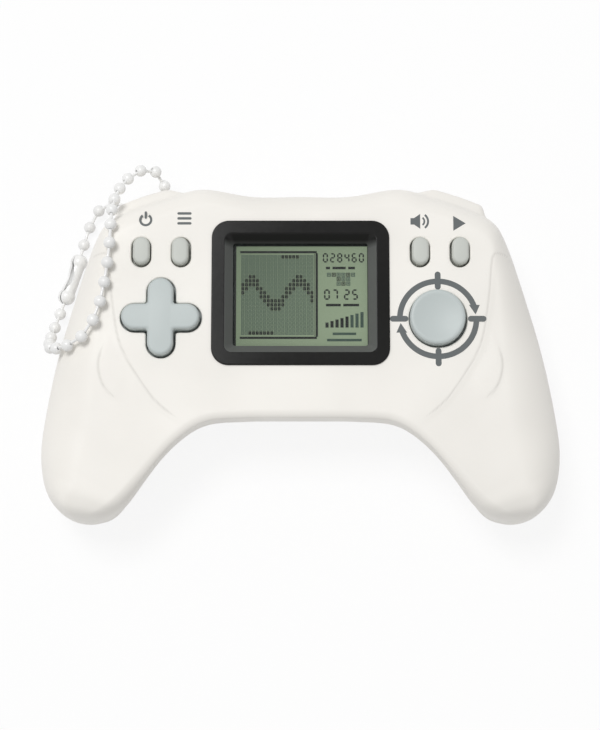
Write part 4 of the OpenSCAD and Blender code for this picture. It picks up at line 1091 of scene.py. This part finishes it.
back = make_object("back_cover", *housing_half(False))
cuts = [
    plan_cutter(box_loop(TRAY_L, TRAY_H, 0.3), 0, TRAY_Y, -1, 6),
    plan_cutter(box_loop(DOOR_L + 2 * DOOR_GAP, DOOR_H + 2 * DOOR_GAP, 1.8), 0, TRAY_Y, -1.1, DOOR_T + 0.05),
]
ears = [column_cutter(side * EAR_X, TRAY_Y, 2 * (EAR_R + DOOR_GAP), -1.2, 6.1) for side in (-1, 1)]
for x, y in boss_places:
    ears.append(column_cutter(x, y, HEAD_D + 0.4, -1.3, 6.2))
for dx, dy in ((0, 0), (SOUND_STEP, 0), (-SOUND_STEP, 0), (0, SOUND_STEP), (0, -SOUND_STEP)):
    ears.append(column_cutter(BUZZER_X + dx, BUZZER_Y + dy, SOUND_D, -1.4, 6.3))
for cut in ([cuts[0]], [cuts[1]], ears):
    carve(back, cut)
dress(back, "housing", SHELL_WHITE, ["back_shell"])

posts = []
for x, y in boss_places:
    posts.append(turned_form(
        [(HEAD_D / 2 + 1.2, 1.9), (HEAD_D / 2 + 1.2, PART_Z - 0.05), (SCREW_D / 2 + 0.1, PART_Z - 0.05),
         (SCREW_D / 2 + 0.1, HEAD_Z1), (HEAD_D / 2 + 0.2, HEAD_Z1), (HEAD_D / 2 + 0.2, 1.9)], x, y))
    posts.append(tube(x, y, BOSS_R, SCREW_D / 2 + 0.02, PART_Z, SCREW_END))
for side in (-1, 1):
    posts.append(turned_form(
        [(EAR_R + DOOR_GAP + 1, 0.9), (EAR_R + DOOR_GAP + 1, 8.5), (1.3, 8.5), (1.3, EAR_T + 0.05),
         (EAR_R + DOOR_GAP, EAR_T + 0.05), (EAR_R + DOOR_GAP, 0.9)], side * EAR_X, TRAY_Y))
    for y in PCB_SCREW_Y:
        posts.append(tube(side * PCB_SCREW_X, y, 2.0, 0.9, PCB_Z1, UNDER_Z))
posts.append(tube(BUZZER_X, BUZZER_Y, BUZZER_D / 2, BUZZER_D / 2 - 1.2, WALL, BUZZER_Z))
piece("housing_posts", *join(posts), "housing", "shell_white", SHELL_WHITE)

tray = []
for w, h, z in ((TRAY_L, TRAY_H, ROOF_Z0), (TRAY_L, TRAY_H, DOOR_T + 0.05),
                (TRAY_L + 2 * TRAY_WALL, TRAY_H + 2 * TRAY_WALL, DOOR_T + 0.05),
                (TRAY_L + 2 * TRAY_WALL, TRAY_H + 2 * TRAY_WALL, ROOF_Z1)):
    tray.append(at_height(box_loop(w, h, 0.3, 5), z, 0, TRAY_Y))
piece("battery_tray", *stack(np.stack(tray)), "housing", "shell_white", SHELL_WHITE)


def lug_loops():
    """Eyelet for the chain: a plate with a round end and a round hole, its edges broken by small rounds."""
    loops = []
    for inset, x, hole_side in (
        (0.3, -0.7, 0), (0.08, -0.62, 0), (0, -0.4, 0), (0, 0.4, 0), (0.08, 0.62, 0), (0.3, 0.7, 0),
        (0.3, 0.7, 1), (0.08, 0.62, 1), (0, 0.4, 1), (0, -0.4, 1), (0.08, -0.62, 1), (0.3, -0.7, 1),
    ):
        if hole_side:
            plan = pill_loop(LUG_HOLE + 2 * inset, LUG_HOLE + 2 * inset)[:, ::-1]
        else:
            plan = pill_loop(2 * (LUG_R - inset), 2 * (LUG_R - inset) + 4.2)[:, ::-1] - [2.1, 0]
        loops.append(np.column_stack([np.full(len(plan), x * LUG_T / 1.4), plan]) + LUG)
    return np.stack(loops)


piece("chain_lug", *stack(lug_loops(), wrap=True), "housing", "shell_white", SHELL_WHITE)


# Chain


def along_route(route, pitch):
    """Points at equal length along the smooth curve through a route, about a pitch apart."""
    fine = fine_line(route, (len(route) - 1) * 12 + 1)
    reached = np.concatenate([[0], np.cumsum(np.linalg.norm(np.diff(fine, axis=0), axis=1))])
    count = round(reached[-1] / pitch)
    at = np.linspace(0, reached[-1], count + 1)
    return np.stack([np.interp(at, reached, fine[:, k]) for k in range(3)], -1)


def frames(direction):
    """Two unit vectors at right angles to each direction, and the direction itself."""
    d = direction / np.linalg.norm(direction, axis=-1, keepdims=True)
    helper = np.where(np.abs(d[:, 2:3]) < 0.9, [[0, 0, 1.0]], [[1.0, 0, 0]])
    a = np.cross(helper, d)
    a /= np.linalg.norm(a, axis=-1, keepdims=True)
    return a, np.cross(d, a), d


def turned_along(origin, direction, profile, sides):
    """Bodies turned about each direction: profile is (along, radius), put round each origin."""
    a, b, d = frames(direction)
    q = np.linspace(0, 2 * np.pi, sides, endpoint=False)
    ring = a[:, None, :] * np.cos(q)[None, :, None] + b[:, None, :] * np.sin(q)[None, :, None]
    along = origin[:, None, None, :] + d[:, None, None, :] * profile[None, :, None, :1]
    return along + ring[:, None, :, :] * profile[None, :, None, 1:]


beads = along_route(CHAIN_ROUTE / MM, BEAD_PITCH)
heading = np.gradient(beads, axis=0)
polar = np.linspace(math.radians(17), math.radians(163), 17)
ball = np.column_stack([-BEAD_R * np.cos(polar), BEAD_R * np.sin(polar)])
dimple = np.array([[-0.6, 0.3], [-1.0, 0.3]])
bead_profile = np.concatenate([dimple, ball, -dimple[::-1] * [1, -1]])
piece("ball_chain_beads", *join([stack(b) for b in turned_along(beads, heading, bead_profile, 28)]),
      "keychain", "chain_white", CHAIN_WHITE, ["chain_beads"], 50.0)

steps = np.diff(beads, axis=0)
length = np.linalg.norm(steps, axis=1).mean()
link_profile = np.array([[0.95, 0.05], [0.95, 0.3], [1.15, 0.34], [1.4, 0.3], [length - 1.4, 0.3],
                         [length - 1.15, 0.34], [length - 0.95, 0.3], [length - 0.95, 0.05]])
piece("ball_chain_links", *join([stack(b) for b in turned_along(beads[:-1], steps, link_profile, 14)]),
      "keychain", "chain_white", CHAIN_WHITE, ["chain_links"], 40.0)


def connector_loops(a, b):
    """Snap connector: two ball-shaped lobes and a waist, as an open sleeve with a slot along one side."""
    span = np.linalg.norm(b - a)
    lobe = BEAD_R + CONNECTOR_PLAY + CONNECTOR_WALL
    waist = lobe * CONNECTOR_WAIST
    past = math.sqrt(lobe ** 2 - CONNECTOR_MOUTH ** 2)
    t = np.linspace(-past, span + past, 61)
    off = np.minimum(np.abs(t), np.abs(t - span))
    ball_r = np.sqrt(np.maximum(lobe ** 2 - off ** 2, 0.01))
    between = (t > 0) & (t < span)
    outer = np.where(between, np.maximum(ball_r, waist), ball_r)
    inner = np.maximum(outer - CONNECTOR_WALL, 0.3)
    slot = (0.5 + 1.1 * np.sin(np.pi * np.clip(t / span, 0, 1)) ** 2) / outer
    q = np.linspace(0, 1, 45)
    angle = math.radians(40) + slot[:, None] + (2 * np.pi - 2 * slot[:, None]) * q[None, :]
    side, up, ahead = (v[0] for v in frames((b - a)[None, :]))
    axis = a + t[:, None] * ahead

    def skin(radius):
        """The sleeve's points at a radius that changes along it."""
        turn = np.cos(angle)[..., None] * side + np.sin(angle)[..., None] * up
        return axis[:, None, :] + radius[:, None, None] * turn

    return np.concatenate([skin(outer), skin(inner)[:, ::-1]], axis=1)


piece("chain_snap", *stack(connector_loops(beads[0], beads[-1])), "keychain", "chain_white", CHAIN_WHITE,
      ["chain_connector"], 40.0)


# Finishes of the CAD nodes that show as they are

for name, material in {
    "screen_window": WINDOW, "lcd_panel": PANEL_GREEN, "zebra_strips": STRIP_RUBBER, "main_pcb": BOARD_GREEN,
    "chip_cap": RESIN_BLACK, "dpad_pivot": BUTTON_GREY, "battery_door": SHELL_WHITE,
    "door_screws": SCREW_STEEL, "battery_cells": CELL_JACKET,
    "battery_springs": CONTACT_NICKEL, "battery_contacts": CONTACT_NICKEL, "buzzer": BUZZER_BRASS,
    "case_screws": SCREW_STEEL, "pcb_screws": SCREW_STEEL,
}.items():
    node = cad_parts[name]
    node.data.materials.clear()
    node.data.materials.append(material)


# Floor, light and camera

floor_mesh = bpy.data.meshes.new("floor")
floor_mesh.from_pydata([(x, y, FLOOR_Z) for x, y in ((-3, -3), (3, -3), (3, 3), (-3, 3))], [], [(0, 1, 2, 3)])
floor = bpy.data.objects.new("floor", floor_mesh)
floor_mesh.materials.append(floor_white())
scene.collection.objects.link(floor)

world = bpy.data.worlds.new("studio")
scene.world = world
world.use_nodes = True
sky = world.node_tree
back_light = sky.nodes["Background"]
back_light.inputs["Color"].default_value = (1, 1, 1, 1)
sky.links.new(range_node(sky, looked_at(sky), 0, 1, 0.5, 1.0), back_light.inputs["Strength"])


def area_light(name, place, size, power):
    """Square soft box at a place in metres, facing the part."""
    data = bpy.data.lights.new(name, "AREA")
    data.size = size
    data.energy = power
    lamp = bpy.data.objects.new(name, data)
    scene.collection.objects.link(lamp)
    lamp.location = place
    to = np.array([0, 0, 0.01]) - np.array(place)
    a, b, d = (v[0] for v in frames(-to[None, :]))
    lamp.matrix_world = Matrix([(a[k], b[k], d[k], place[k]) for k in range(3)] + [(0, 0, 0, 1)])


KEY_PLACE, KEY_SIZE, KEY_POWER = (-0.3, 0.34, 1.15), 0.4, 7.6
area_light("key_box", KEY_PLACE, KEY_SIZE, KEY_POWER)

# The camera looks down on the face, tilted so that the wall of the arch shows
TARGET = np.array([0, -0.00183, 0.010])
DISTANCE, TILT, LENS, SENSOR = 0.4, math.radians(80), 98.63, 36.0

# Half a pixel of the picture's height
SHIFT = -0.5 / 730
camera_data = bpy.data.cameras.new("camera")
camera_data.lens = LENS
camera_data.sensor_width = SENSOR
camera_data.sensor_fit = "AUTO"
camera_data.shift_x = SHIFT
camera_data.clip_start = 0.01
camera = bpy.data.objects.new("camera", camera_data)
scene.collection.objects.link(camera)
camera.location = TARGET + DISTANCE * np.array([0, -math.cos(TILT), math.sin(TILT)])
camera.rotation_euler = (math.pi / 2 - TILT, 0, 0)
scene.camera = camera

scene.view_settings.view_transform = "Standard"
